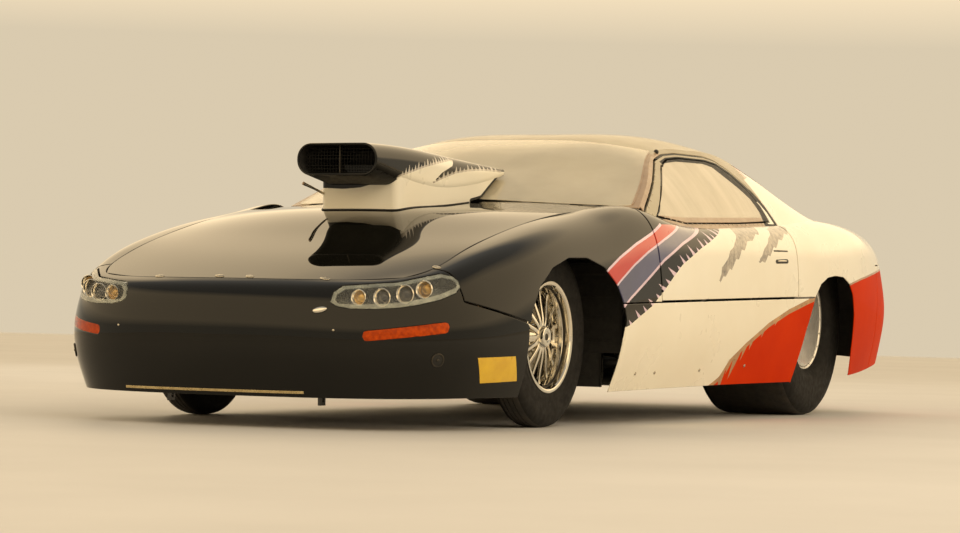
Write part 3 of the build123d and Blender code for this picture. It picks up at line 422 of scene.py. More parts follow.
def within(m, poly, axes="xz", grow=0.0, step=15.0):
    """cuts along an outline seen along one axis; says which triangles are inside"""
    poly = np.array(poly, float)
    x, y = poly[:, 0], poly[:, 1]
    if (x * np.roll(y, -1) - y * np.roll(x, -1)).sum() < 0:
        poly = poly[::-1]
    e = np.roll(poly, -1, 0) - poly
    f = np.roll(e, -1, 0)
    if (e[:, 0] * f[:, 1] - e[:, 1] * f[:, 0] > -1e-6).all() and len(poly) < 9:
        ins = None
        for p0, d in zip(poly, e):
            nrm = np.array([d[1], -d[0]]) / math.hypot(*d)
            m, ins = cut(m, (seen(m, axes) - p0) @ nrm - grow, ins)
        return m, ins
    before = len(m["p"])
    f = sdf(seen(m, axes), poly) - grow
    m, ins = cut(m, f)
    # pull the nearest new point onto each corner
    new = np.concatenate([np.nonzero(np.abs(f) < 0.7)[0], np.arange(before, len(m["p"]))]).astype(int)
    if len(new) and abs(grow) < 6 and axes != "uv":
        e1, e2, e3 = (np.array(k, float) for k in AXES[axes])
        for c0 in poly:
            q = seen(m, axes)[new]
            d = np.linalg.norm(q - c0, axis=1)
            a = int(np.argmin(d))
            if abs(grow) < d[a] < 0.7 * step:
                v = new[a]
                shift = (c0 - q[a]) * (1 - abs(grow) / d[a])
                n = m["n"][v]
                if abs(n @ e3) > 0.3:
                    flat = e1 * shift[0] + e2 * shift[1]
                    m["p"][v] += flat - e3 * (n @ flat) / (n @ e3)
    return m, ins


def keep_in(m, poly, axes="xz", grow=0.0):
    m, ins = within(m, poly, axes, grow)
    return picked(m, ins)


def keep_out(m, poly, axes="xz", grow=0.0):
    m, ins = within(m, poly, axes, grow)
    return picked(m, ~ins)


def paint(m, poly, colour, axes="xz", only=None):
    """gives the triangles inside an outline a paint number"""
    m, ins = within(m, poly, axes)
    if only is not None:
        ins = ins & np.isin(m["c"], only)
    m["c"] = np.where(ins, colour, m["c"])
    return m


def stripe(m, line, width, colour, axes="xz", only=None):
    """a painted line of even width"""
    m, ins = cut(m, line_dist(seen(m, axes), np.array(line, float)) - width / 2, eps=0.25)
    if only is not None:
        ins = ins & np.isin(m["c"], only)
    m["c"] = np.where(ins, colour, m["c"])
    return m


class Mesh:
    """points, faces, corner normals and paint numbers being gathered for one object"""

    def __init__(self):
        self.v, self.f, self.n, self.c, self.count = [], [], [], [], 0

    def points(self, p):
        p = np.asarray(p, float).reshape(-1, 3)
        self.v.append(p)
        self.count += len(p)
        return np.arange(self.count - len(p), self.count)

    def faces(self, f, n, c):
        """f (k, m) point numbers, n (k, m, 3) normals, c (k,) paint"""
        if len(f):
            self.f += np.asarray(f).tolist()
            self.n.append(np.asarray(n, float).reshape(-1, 3))
            self.c.append(np.broadcast_to(np.asarray(c), (len(f),)).astype(int))


def border(t):
    """directed edges that only one triangle has"""
    e = np.concatenate([t[:, [0, 1]], t[:, [1, 2]], t[:, [2, 0]]])
    big = np.int64(1 << 31)
    fwd = e[:, 0].astype(np.int64) * big + e[:, 1]
    back = e[:, 1].astype(np.int64) * big + e[:, 0]
    return e[~np.isin(fwd, back)]


def panel(out, m, t=4.0, r=2.5, edge_paint=None, inner_paint=None, inside=True):
    """closes a sheet into a panel of even thickness with rolled edges"""
    m = picked(m, np.arange(len(m["t"])))
    p, n, T, c = m["p"], m["n"], m["t"], m["c"]
    top = out.points(p)
    out.faces(top[T], n[T], c)
    e = border(T)
    col = {}
    tri_edges = {}
    for k, tri in enumerate(T):
        for a in range(3):
            tri_edges[(int(tri[a]), int(tri[(a + 1) % 3]))] = c[k]
    ec = np.array([tri_edges[(int(a), int(b))] for a, b in e])
    if edge_paint is not None:
        ec[:] = edge_paint
    o = unit(np.cross(p[e[:, 1]] - p[e[:, 0]], n[e[:, 0]] + n[e[:, 1]]))
    acc = np.zeros_like(p)
    np.add.at(acc, e[:, 0], o)
    np.add.at(acc, e[:, 1], o)
    on = np.unique(e)
    acc[on] = unit(acc[on])
    near = np.ones(len(p))
    near[e[:, 0]] = np.clip((acc[e[:, 0]] * o).sum(1), 0.5, 1)
    scale = 1 / near
    index = np.full(len(p), -1)
    index[on] = np.arange(len(on))
    ea, eb = index[e[:, 0]], index[e[:, 1]]
    P, N, O, S = p[on], n[on], acc[on], scale[on][:, None]
    rings, normals = [top[on]], [N]
    for deg in (30, 60, 90):
        a = math.radians(deg)
        rings.append(out.points(P + O * S * r * math.sin(a) - N * r * (1 - math.cos(a))))
        normals.append(unit(N * math.cos(a) + O * math.sin(a)))
    if t > r + 0.3:
        rings.append(out.points(P + O * S * r - N * t))
        normals.append(O)
    for k in range(len(rings) - 1):
        A, B, na, nb = rings[k], rings[k + 1], normals[k], normals[k + 1]
        out.faces(np.stack([A[eb], A[ea], B[ea], B[eb]], 1), np.stack([na[eb], na[ea], nb[ea], nb[eb]], 1), ec)
    if inside:
        low = out.points(p - n * t)
        L = rings[-1]
        ic = c if inner_paint is None else np.full(len(T), inner_paint)
        out.faces(low[T[:, ::-1]], -n[T[:, ::-1]], ic)
        out.faces(np.stack([L[eb], L[ea], low[e[:, 0]], low[e[:, 1]]], 1),
                  np.stack([-N[eb], -N[ea], -N[ea], -N[eb]], 1), ec if inner_paint is None else inner_paint)
    return out


def finish_mesh(name, out, materials, body, level=True):
    """one object from what was gathered, riding on a body"""
    v = np.concatenate(out.v)
    n = np.concatenate(out.n)
    if level:
        v, n = ground(v), turned(n)
    me = bpy.data.meshes.new(name)
    me.from_pydata(v.tolist(), [], out.f)
    me.polygons.foreach_set("material_index", np.concatenate(out.c).astype(np.int32))
    me.polygons.foreach_set("use_smooth", np.ones(len(out.f), bool))
    for m in materials:
        me.materials.append(m)
    me.update()
    me.normals_split_custom_set(unit(n).tolist())
    ob = bpy.data.objects.new(name, me)
    bpy.context.scene.collection.objects.link(ob)
    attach(ob, body)
    return ob


# ---------------- plain solids, smooth by angle ----------------
class Solid:
    """points and faces of one object, with smoothing by angle"""

    def __init__(self):
        self.v, self.f, self.c = [], [], []

    def add(self, pts, faces, colour=0):
        base = len(self.v)
        self.v += [tuple(map(float, q)) for q in pts]
        self.f += [tuple(base + k for k in f) for f in faces]
        self.c += [colour] * len(faces)

    def rings(self, rings, colour=0, closed=True, cap0=True, cap1=True, loop=False):
        """skin over a list of equal rings of points"""
        n, base = len(rings[0]), len(self.v)
        for r in rings:
            self.v += [tuple(map(float, q)) for q in r]
        m = len(rings)
        for i in range(m if loop else m - 1):
            a, b = base + i * n, base + ((i + 1) % m) * n
            for j in range(n if closed else n - 1):
                k = (j + 1) % n
                self.f.append((a + j, a + k, b + k, b + j))
                self.c.append(colour)
        if not loop and closed:
            if cap0:
                self.f.append(tuple(base + k for k in range(n - 1, -1, -1)))
                self.c.append(colour)
            if cap1:
                self.f.append(tuple(base + (m - 1) * n + k for k in range(n)))
                self.c.append(colour)

    def tube(self, pts, r, n=12, colour=0):
        """round bar along a line of points; r a number or one per point"""
        pts = [np.array(p, float) for p in pts]
        rr = [r] * len(pts) if np.isscalar(r) else list(r)
        rings, up = [], None
        for i, p in enumerate(pts):
            d = unit(unit(pts[min(i + 1, len(pts) - 1)] - p) + unit(p - pts[max(i - 1, 0)]))
            if up is None:
                up = np.array([0, 0, 1.0]) if abs(d[2]) < 0.9 else np.array([1.0, 0, 0])
            a = unit(np.cross(up, d))
            up = unit(np.cross(d, a))
            rings.append([p + rr[i] * (a * math.cos(2 * math.pi * k / n) + up * math.sin(2 * math.pi * k / n)) for k in range(n)])
        self.rings(rings, colour)

    def lathe(self, profile, centre, n=96, colour=0, axis="y", closed=False):
        """solid of revolution; profile of (along, radius), first and last may be on the axis"""
        c = np.array(centre, float)
        rows = []
        for a, r in profile:
            ring = []
            for k in range(n):
                t = 2 * math.pi * k / n
                if axis == "y":
                    ring.append(c + (r * math.cos(t), a, -r * math.sin(t)))
                elif axis == "x":
                    ring.append(c + (a, r * math.cos(t), r * math.sin(t)))
                else:
                    ring.append(c + (r * math.cos(t), r * math.sin(t), a))
            rows.append(ring)
        self.rings(rows, colour, cap0=not closed, cap1=not closed, loop=closed)

    def block(self, lo, hi, colour=0):
        x0, y0, z0 = lo
        x1, y1, z1 = hi
        p = [(x0, y0, z0), (x1, y0, z0), (x1, y1, z0), (x0, y1, z0), (x0, y0, z1), (x1, y0, z1), (x1, y1, z1), (x0, y1, z1)]
        self.add(p, [(0, 3, 2, 1), (4, 5, 6, 7), (0, 1, 5, 4), (1, 2, 6, 5), (2, 3, 7, 6), (3, 0, 4, 7)], colour)

    def done(self, name, materials, body, slot=None, angle=35, bevel=0.0, level=True, weld=False, segments=2):
        v = ground(np.array(self.v)) if level else np.array(self.v)
        me = bpy.data.meshes.new(name)
        me.from_pydata(v.tolist(), [], self.f)
        me.polygons.foreach_set("material_index", np.array(self.c, np.int32))
        me.polygons.foreach_set("use_smooth", np.ones(len(self.f), bool))
        for m in materials:
            me.materials.append(m)
        me.update()
        bm = bmesh.new()
        bm.from_mesh(me)
        bmesh.ops.remove_doubles(bm, verts=bm.verts, dist=1e-6)
        bmesh.ops.dissolve_degenerate(bm, dist=1e-7, edges=bm.edges)
        bmesh.ops.recalc_face_normals(bm, faces=bm.faces)
        if bevel:
            sharp = [e for e in bm.edges if len(e.link_faces) == 2 and e.calc_face_angle(0) > math.radians(angle)]
            bmesh.ops.bevel(bm, geom=sharp, offset=bevel / 1000, segments=segments, profile=0.6, affect="EDGES", clamp_overlap=True)
        bm.to_mesh(me)
        bm.free()
        me.polygons.foreach_set("use_smooth", np.ones(len(me.polygons), bool))
        me.set_sharp_from_angle(angle=math.radians(angle))
        me.update()
        ob = bpy.data.objects.new(name, me)
        bpy.context.scene.collection.objects.link(ob)
        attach(ob, body)
        return ob


# ---------------- materials ----------------
def rgb(r, g, b):
    """display colour 0-255 to linear"""
    return tuple((k / 255 / 12.92) if k / 255 <= 0.04045 else ((k / 255 + 0.055) / 1.055) ** 2.4 for k in (r, g, b)) + (1.0,)


def finish_of(name, colour, second=None, scale=6.0, detail=4.0, share=0.5, rough=0.4, rough_var=0.08, metallic=0.0, coat=0.0,
              coat_rough=0.03, bump=0.0, bump_scale=400.0, alpha=1.0, emit=0.0, spec=0.5, transmission=0.0, ior=1.45, stretch=(1, 1, 1), voronoi=False, coat_ior=1.5):
    """a procedural finish: two tones mixed by noise, uneven gloss and fine relief, all on the object's own coordinates"""
    m = bpy.data.materials.new(name)
    m.use_nodes = True
    nt = m.node_tree
    b = next(n for n in nt.nodes if n.type == "BSDF_PRINCIPLED")
    tc = nt.nodes.new("ShaderNodeTexCoord")
    mp = nt.nodes.new("ShaderNodeMapping")
    mp.inputs["Scale"].default_value = stretch
    nt.links.new(tc.outputs["Object"], mp.inputs["Vector"])
    no = nt.nodes.new("ShaderNodeTexNoise")
    no.inputs["Scale"].default_value = scale
    no.inputs["Detail"].default_value = detail
    no.inputs["Roughness"].default_value = 0.6
    nt.links.new(mp.outputs[0], no.inputs["Vector"])
    ramp = nt.nodes.new("ShaderNodeValToRGB")
    ramp.color_ramp.elements[0].position = max(0.0, share - 0.22)
    ramp.color_ramp.elements[1].position = min(1.0, share + 0.22)
    second = second or tuple(k * 0.86 for k in colour[:3]) + (1.0,)
    ramp.color_ramp.elements[0].color = colour
    ramp.color_ramp.elements[1].color = second
    nt.links.new(no.outputs["Fac"], ramp.inputs[0])
    nt.links.new(ramp.outputs[0], b.inputs["Base Color"])
    n2 = nt.nodes.new("ShaderNodeTexNoise")
    n2.inputs["Scale"].default_value = scale * 3.1
    n2.inputs["Detail"].default_value = 3.0
    nt.links.new(mp.outputs[0], n2.inputs["Vector"])
    mr = nt.nodes.new("ShaderNodeMapRange")
    mr.inputs["From Min"].default_value, mr.inputs["From Max"].default_value = 0.3, 0.7
    mr.inputs["To Min"].default_value, mr.inputs["To Max"].default_value = max(0.0, rough - rough_var), rough + rough_var
    nt.links.new(n2.outputs["Fac"], mr.inputs["Value"])
    nt.links.new(mr.outputs[0], b.inputs["Roughness"])
    b.inputs["Metallic"].default_value = metallic
    b.inputs["Coat Weight"].default_value = coat
    b.inputs["Coat Roughness"].default_value = coat_rough
    b.inputs["Coat IOR"].default_value = coat_ior
    b.inputs["Specular IOR Level"].default_value = spec
    b.inputs["IOR"].default_value = ior
    b.inputs["Transmission Weight"].default_value = transmission
    b.inputs["Alpha"].default_value = alpha
    if emit:
        b.inputs["Emission Color"].default_value = colour
        b.inputs["Emission Strength"].default_value = emit
    if bump:
        n3 = nt.nodes.new("ShaderNodeTexVoronoi" if voronoi else "ShaderNodeTexNoise")
        n3.inputs["Scale"].default_value = bump_scale
        nt.links.new(mp.outputs[0], n3.inputs["Vector"])
        bp = nt.nodes.new("ShaderNodeBump")
        bp.inputs["Strength"].default_value = bump
        bp.inputs["Distance"].default_value = 0.001
        nt.links.new(n3.outputs[0], bp.inputs["Height"])
        nt.links.new(bp.outputs[0], b.inputs["Normal"])
    return m


M = {
    "black": finish_of("gloss_black", rgb(12, 12, 9), rgb(17, 16, 12), 3.0, rough=0.4, coat=1.0, coat_rough=0.02, bump=0.03, bump_scale=260, spec=0.0, coat_ior=1.36),
    # the roof finish is the white paint darkened: painted shade for the top surfaces, which get the most light
    "roof": finish_of("white_roof_painted_shade", rgb(180, 169, 142), rgb(167, 154, 128), 2.4, rough=0.42, coat=0.34, coat_rough=0.05, bump=0.03, bump_scale=260, spec=0.12, coat_ior=1.25),
    "brass": finish_of("lip_metal", rgb(222, 202, 152), rgb(182, 160, 112), 30.0, rough=0.3, metallic=0.8, bump=0.1, bump_scale=200),
    # the strong pale and near-black mottle of the lamp back is painted reflection, standing for the broken reflections
    # in chrome
    "lampback": finish_of("lamp_back_painted_reflections", rgb(118, 118, 106), rgb(12, 14, 22), 44.0, 3.0, rough=0.22, metallic=0.7, bump=0.1, bump_scale=60),
    "white": finish_of("gloss_white", rgb(234, 227, 206), rgb(227, 218, 194), 2.2, rough=0.32, coat=0.8, coat_rough=0.04, bump=0.03, bump_scale=260),
    "red": finish_of("gloss_red", rgb(196, 44, 26), rgb(178, 34, 22), 3.0, rough=0.32, spec=0.2, coat_ior=1.4, coat=0.9, coat_rough=0.03, bump=0.03, bump_scale=260),
    "blue": finish_of("gloss_blue", rgb(40, 40, 92), rgb(30, 30, 74), 3.0, rough=0.32, coat=1.0, coat_rough=0.03, bump=0.03, bump_scale=260),
    "line": finish_of("pale_line", rgb(222, 196, 206), rgb(200, 170, 188), 9.0, rough=0.35, coat=0.8, bump=0.03),
    "gold": finish_of("gold_edge", rgb(190, 138, 62), rgb(142, 92, 36), 18.0, rough=0.34, coat=0.8, metallic=0.25, bump=0.03),
    "torn": finish_of("torn_grey", rgb(86, 78, 68), rgb(190, 176, 152), 46.0, 5.0, share=0.5, rough=0.36, coat=0.9, bump=0.05),
    "inner": finish_of("composite_inner", rgb(52, 50, 46), rgb(34, 33, 31), 30.0, rough=0.62, bump=0.4, bump_scale=520, voronoi=True),
    "seal": finish_of("black_rubber", rgb(20, 19, 17), rgb(30, 29, 26), 20.0, rough=0.55, bump=0.2, bump_scale=300),
    "tan": finish_of("riveted_border", rgb(170, 144, 114), rgb(148, 122, 96), 14.0, rough=0.36, coat=0.3, bump=0.08, bump_scale=120),
    "orange": finish_of("gloss_orange_red", rgb(198, 52, 1), rgb(182, 42, 1), 2.6, rough=0.42, coat=0.18, coat_rough=0.04, spec=0.0, coat_ior=1.25, bump=0.03, bump_scale=260),
    # both window sheets get a pale cream tone with part opacity: painted reflection of the bright surroundings on the
    # glass
    "glass": finish_of("clear_sheet", rgb(232, 220, 190), rgb(216, 204, 174), 4.0, rough=0.08, rough_var=0.03, coat=1.0, alpha=0.62, bump=0.06, bump_scale=9),
    "side_glass": finish_of("side_window_painted_reflection", rgb(214, 200, 172), rgb(190, 178, 150), 5.0, rough=0.12, rough_var=0.04, coat=0.5, alpha=0.8, bump=0.1, bump_scale=7, stretch=(3.0, 1.0, 0.35)),
    "lens": finish_of("lamp_lens", rgb(214, 214, 204), rgb(180, 182, 176), 26.0, rough=0.05, rough_var=0.03, coat=0.8, alpha=0.05, bump=0.05, bump_scale=60),
    "lens_edge": finish_of("lens_moulded_edge", rgb(188, 190, 172), rgb(120, 124, 116), 34.0, rough=0.08, rough_var=0.03, coat=1.0, alpha=0.42, bump=0.2, bump_scale=80),
    # two bulb finishes, a warm bright one and a dark one, shared out among the bowls: painted reflections of the light
    # in the lamp
    "bulb": finish_of("painted_warm_glint", rgb(214, 178, 96), rgb(150, 110, 46), 40.0, rough=0.2, metallic=0.6, coat=0.6, bump=0.1, bump_scale=120),
    "dark_bulb_reflection": finish_of("painted_dark_reflection", rgb(13, 14, 20), rgb(24, 25, 30), 50.0, rough=0.12, coat=0.5, metallic=0.0, bump=0.1, bump_scale=120),
    "bowl": finish_of("lamp_bowl", rgb(196, 192, 180), rgb(150, 146, 138), 24.0, rough=0.18, metallic=0.9, bump=0.1, bump_scale=90),
    "amber": finish_of("amber_lens", rgb(188, 70, 0), rgb(132, 40, 0), 60.0, rough=0.2, coat=0.3, spec=0.1, coat_ior=1.3, bump=0.5, bump_scale=160, voronoi=True),
    "redlens": finish_of("red_lens", rgb(150, 22, 16), rgb(104, 12, 10), 60.0, rough=0.16, coat=1.0, bump=0.5, bump_scale=160, voronoi=True),
    "chrome": finish_of("polished_alloy", rgb(232, 226, 212), rgb(214, 208, 194), 9.0, rough=0.09, rough_var=0.04, metallic=1.0, bump=0.02, bump_scale=200),
    "rim": finish_of("bright_rim", rgb(240, 235, 224), rgb(222, 216, 204), 9.0, rough=0.22, rough_var=0.04, metallic=0.7, coat=0.5, bump=0.02, bump_scale=200),
    "satin": finish_of("satin_alloy", rgb(176, 172, 162), rgb(142, 138, 130), 24.0, rough=0.34, metallic=1.0, bump=0.08, bump_scale=240),
    "cast": finish_of("cast_metal", rgb(112, 108, 100), rgb(76, 73, 68), 34.0, rough=0.5, metallic=0.85, bump=0.45, bump_scale=190),
    "steel": finish_of("dark_steel", rgb(58, 56, 52), rgb(92, 84, 72), 26.0, share=0.6, rough=0.46, metallic=0.8, bump=0.12, bump_scale=260),
    "chassis": finish_of("chassis_coating", rgb(40, 40, 40), rgb(58, 57, 54), 12.0, rough=0.34, coat=0.5, bump=0.1, bump_scale=200),
    "rubber": finish_of("tyre_rubber", rgb(16, 15, 14), rgb(28, 26, 23), 16.0, rough=0.72, spec=0.25, rough_var=0.1, bump=0.35, bump_scale=320),
    "tread": finish_of("tread_rubber", rgb(36, 34, 31), rgb(58, 52, 44), 22.0, rough=0.85, bump=0.6, bump_scale=420),
    "plastic": finish_of("black_moulding", rgb(24, 24, 23), rgb(34, 33, 31), 26.0, rough=0.48, bump=0.25, bump_scale=600, voronoi=True),
    "header": finish_of("heated_pipe", rgb(150, 128, 92), rgb(96, 84, 96), 8.0, share=0.5, rough=0.3, metallic=1.0, bump=0.08, bump_scale=120),
    "alu": finish_of("sheet_alloy", rgb(158, 156, 148), rgb(130, 128, 122), 14.0, rough=0.36, metallic=0.9, bump=0.12, bump_scale=60, stretch=(1, 4, 1)),
    "cloth": finish_of("seat_fabric", rgb(36, 36, 38), rgb(52, 52, 54), 70.0, rough=0.9, bump=0.8, bump_scale=900, spec=0.25),
    "belt": finish_of("harness_web", rgb(160, 28, 24), rgb(120, 20, 18), 200.0, rough=0.8, bump=0.8, bump_scale=1400, spec=0.3),
    "screw": finish_of("small_fixings", rgb(204, 196, 178), rgb(160, 152, 138), 60.0, rough=0.25, metallic=1.0, bump=0.05),
    "patch": finish_of("yellow_patch", rgb(216, 176, 34), rgb(196, 152, 24), 12.0, rough=0.34, coat=0.5, bump=0.03),
    "gauze": finish_of("duct_mesh", rgb(15, 15, 14), rgb(25, 24, 22), 90.0, rough=0.5, metallic=0.6, bump=1.0, bump_scale=260, voronoi=True),
    "fringe": finish_of("torn_fringe", rgb(206, 196, 178), rgb(120, 112, 100), 60.0, 5.0, share=0.6, rough=0.36, coat=0.8, bump=0.04),
    "lens_white": finish_of("clear_moulding", rgb(214, 210, 200), rgb(180, 176, 168), 60.0, rough=0.14, coat=1.0, bump=0.5, bump_scale=160, voronoi=True),
    "dial": finish_of("dial_face", rgb(14, 14, 14), rgb(20, 20, 20), 40.0, rough=0.4, bump=0.05),
}

# paint numbers used on the body sheets
BODY = ["black", "white", "red", "blue", "line", "gold", "torn", "inner", "seal", "tan", "orange", "side_glass", "glass", "patch", "fringe", "roof"]
K = {n: i for i, n in enumerate(BODY)}
BODY_MATS = [M[n] for n in BODY]


# ---------------- outlines in side view (x, z), the same as the panels' ----------------
DOOR_FRONT_TOP, DOOR_FRONT_LOW = -686, -745
DOOR_REAR_TOP, DOOR_REAR_LOW = -2148, -2166
SILL_Z = 534.0
ARCH_F = [(404, 60), (412, 415)] + [(-4 + 416 * math.cos(a), 415 + 292 * math.sin(a)) for a in
                                    [math.radians(k) for k in (20, 40, 60, 80, 100, 120, 140, 155)]] + [(-418, 470), (-405, 400), (-386, 60)]
ARCH_R = [(-2215, 60), (-2222, 175), (-2296, 400), (-2363, 537), (-2425, 592), (-2510, 620), (-2607, 627),
          (-2720, 620), (-2800, 592), (-2862, 540), (-2905, 450), (-2932, 300), (-2956, 195), (-2962, 60)]
NOSE_OUT = [(738, 900), (738, 549), (408, 472), (408, 60), (1400, 60), (1400, 900)]
FENDER_OUT = [(733, 900), (733, 554), (402, 478), (-300, 478), (-300, SILL_Z + GAP),
              (DOOR_FRONT_LOW + GAP + 4, SILL_Z + GAP), (DOOR_FRONT_TOP + GAP + 4, 880), (DOOR_FRONT_TOP + 14, 930)]
DOOR_OUT = [(DOOR_FRONT_TOP - 14, 990), (DOOR_FRONT_TOP - GAP, 880), (DOOR_FRONT_LOW - GAP, SILL_Z + GAP + 4),
            (DOOR_REAR_LOW, SILL_Z + GAP + 4), (DOOR_REAR_TOP, 790), (DOOR_REAR_TOP, 990)]
ROCKER_OUT = [(-360, SILL_Z - GAP), (-360, 60), (-2300, 60), (-2380, SILL_Z - GAP)]
QUARTER_OUT = [(DOOR_REAR_TOP - 8, 990), (DOOR_REAR_TOP - 8, 790), (DOOR_REAR_LOW - 8, SILL_Z + GAP + 2), (-2500, SILL_Z + GAP + 2),
               (-2700, 60), (-3326, 60), (-3326, 672), (-3558, 672), (-3558, 990)]
BUMPER_OUT = [(-3331, 60), (-3331, 667), (-3563, 667), (-3563, 990), (-4000, 990), (-4000, 60)]


# ---------------- paint scheme, as outlines in side view (x, z) ----------------
EDGE = [(-1520, 838), (-1392, 804), (-1135, 741), (-938, 678), (-840, 627), (-753, 576), (-644, 520), (-557, 490), (-447, 452), (-262, 415), (-187, 393)]
WHITE_AREA = EDGE + [(100, 320), (100, 0), (-4100, 0), (-4100, 1000), (-1560, 1000)]
RED_TOP = [(-797, 832), (-679, 797), (-514, 755), (-356, 705), (-250, 663), (-130, 600)]
RED_LOW = [(-240, 560), (-352, 620), (-478, 677), (-612, 725), (-773, 771), (-926, 810), (-1010, 832)]
BLUE_LOW = [(-300, 478), (-395, 527), (-439, 551), (-604, 624), (-757, 694), (-958, 759), (-1159, 806), (-1260, 832)]
RED_AREA = RED_TOP + RED_LOW
BLUE_AREA = RED_LOW[::-1] + BLUE_LOW
STREAK_A = [(-1559, 812), (-1545, 790), (-1500, 765), (-1478, 748), (-1432, 731), (-1415, 708), (-1385, 690), (-1337, 665), (-1330, 640), (-1306, 612),
            (-1320, 606), (-1352, 632), (-1374, 628), (-1420, 662), (-1440, 655), (-1491, 700), (-1520, 698), (-1560, 738), (-1590, 734), (-1640, 772), (-1700, 775), (-1765, 802), (-1800, 799), (-1850, 830), (-1600, 840)]
STREAK_B = [(-1958, 824), (-1925, 800), (-1880, 785), (-1850, 762), (-1804, 742), (-1775, 716), (-1729, 690), (-1742, 683), (-1773, 690), (-1800, 684), (-1838, 716), (-1860, 712),
            (-1910, 750), (-1935, 745), (-1990, 782), (-2025, 778), (-2090, 808), (-2120, 802), (-2196, 836), (-2100, 846)]
GOLD_LINE = [(-1330, 160), (-1428, 192), (-1483, 216), (-1539, 284), (-1666, 347), (-1872, 426), (-2073, 479), (-2275, 517), (-2450, 545)]
ORANGE_ROCKER = GOLD_LINE + [(-2450, 60), (-1330, 60)]
BUMPER_LINE = [(-2700, 572), (-2862, 596), (-2984, 611), (-3200, 631), (-3451, 649), (-3600, 662), (-3800, 672)]
ORANGE_REAR = BUMPER_LINE + [(-4000, 672), (-4000, 60), (-2700, 60)]
# torn teeth along the white edge: place along the edge from 0 to 1, length, width
TEETH = [(.02, 20, 26), (.05, 34, 22), (.085, 18, 24), (.115, 42, 26), (.155, 24, 20), (.185, 50, 28), (.225, 26, 22), (.26, 46, 24), (.30, 20, 20), (.335, 56, 28), (.375, 30, 22),
         (.41, 44, 26), (.45, 22, 22), (.485, 60, 30), (.53, 34, 24), (.565, 52, 26), (.61, 26, 22), (.65, 46, 28), (.70, 30, 22), (.745, 40, 26), (.80, 24, 20), (.85, 34, 24), (.90, 20, 20)]


def along(line, share):
    """point and direction at a share of a line's length"""
    line = np.array(line, float)
    d = np.linalg.norm(np.diff(line, axis=0), axis=1)
    s = share * d.sum()
    for k, q in enumerate(d):
        if s <= q or k == len(d) - 1:
            e = (line[k + 1] - line[k]) / q
            return line[k] + e * s, e
        s -= q


def tooth(line, share, long, wide, lean=0.9):
    """one torn tooth pointing to the front of the line"""
    p, e = along(line, share)
    n = np.array([e[1], -e[0]])
    if n[1] < 0:
        n = -n
    tip = p + n * long + e * long * lean
    return [tuple(p - e * wide * .5 - n * 4), tuple(p + e * wide * .5 - n * 4), tuple(tip)]


def scheme(m, lower=True):
    """the painted design on one side"""
    m = paint(m, WHITE_AREA, K["white"])
    m = paint(m, RED_AREA, K["red"], only=[K["black"]])
    m = paint(m, BLUE_AREA, K["blue"], only=[K["black"]])
    m = stripe(m, RED_TOP, 10, K["line"], only=[K["black"], K["red"]])
    m = stripe(m, RED_LOW, 9, K["line"], only=[K["blue"], K["red"]])
    m = stripe(m, BLUE_LOW, 11, K["line"], only=[K["black"], K["blue"]])
    return m


def torn_edge(m):
    for a, b, c in TEETH:
        m = paint(m, tooth(EDGE, a, b, c), K["line"], only=[K["black"]])
    return m


R_EDGE = 2.5          # rolled edge of a panel
# lamp outlines on the front corner, looking along (1, 1, 0): (across, z)
LAMP_HOLE = [(-438, 549), (-423, 582), (-390, 603), (-303, 610), (-206, 618), (-111, 636), (-55, 646), (-12, 638), (6, 622), (11, 602), (-10, 581),
             (-78, 558), (-152, 543), (-222, 532), (-300, 527), (-378, 527), (-420, 534)]
TURN_HOLE = [(-346, 434), (-342, 450), (-330, 453), (-58, 483), (-48, 480), (-44, 466), (-50, 450), (-60, 446), (-330, 419), (-341, 421)]

def side_panels():
    """left-hand sheets, painted and trimmed"""
    got = {}
    f = sheet(RING, U_ROW[3], U_ROW[10], 0, 1, 13)
    f = keep_in(f, FENDER_OUT, grow=-R_EDGE)
    f = keep_out(f, ARCH_F, grow=R_EDGE)
    f = keep_out(f, LAMP_HOLE, "qz", grow=R_EDGE)
    f = torn_edge(scheme(f))
    got["left_fender"] = f
    d = sheet(RING, U_ROW[8], U_ROW[14], 0, 1, 12)
    d = keep_in(d, DOOR_OUT, grow=-R_EDGE)
    d = torn_edge(scheme(d))
    d = paint(d, STREAK_A, K["torn"], only=[K["white"]])
    d = paint(d, STREAK_B, K["torn"], only=[K["white"]])
    got["left_door_skin"] = d
    r = sheet(RING, U_ROW[7], U_ROW[15], 0, 1, 12)
    r = keep_in(r, ROCKER_OUT, grow=-R_EDGE)
    r = keep_out(r, ARCH_F, grow=R_EDGE)
    r = keep_out(r, ARCH_R, grow=R_EDGE)
    r = torn_edge(scheme(r))
    r = paint(r, ORANGE_ROCKER, K["orange"], only=[K["white"]])
    r = stripe(r, GOLD_LINE, 20, K["gold"], only=[K["white"], K["orange"]])
    for a, b, c in ((.16, 60, 60), (.22, 44, 46), (.27, 80, 70), (.33, 50, 40), (.38, 34, 40), (.47, 26, 36), (.58, 22, 30)):
        p, e = along(GOLD_LINE, a)
        n = np.array([-e[1], e[0]])
        if n[1] > 0:
            n = -n
        r = paint(r, [tuple(p - e * c * .6), tuple(p + e * c * .5), tuple(p + n * b - e * b)], K["gold"], only=[K["orange"]])
    got["left_rocker"] = r
    q = sheet(RING, U_ROW[12], U_ROW[17] + .4 * (U_ROW[18] - U_ROW[17]), 0, 1, 13)
    q = keep_in(q, QUARTER_OUT, grow=-R_EDGE)
    q = keep_out(q, ARCH_R, grow=R_EDGE)
    q["c"][:] = K["white"]
    q = paint(q, STREAK_B, K["torn"])
    q = paint(q, ORANGE_REAR, K["orange"])
    q = stripe(q, BUMPER_LINE, 9, K["gold"])
    got["left_quarter"] = q
    return got


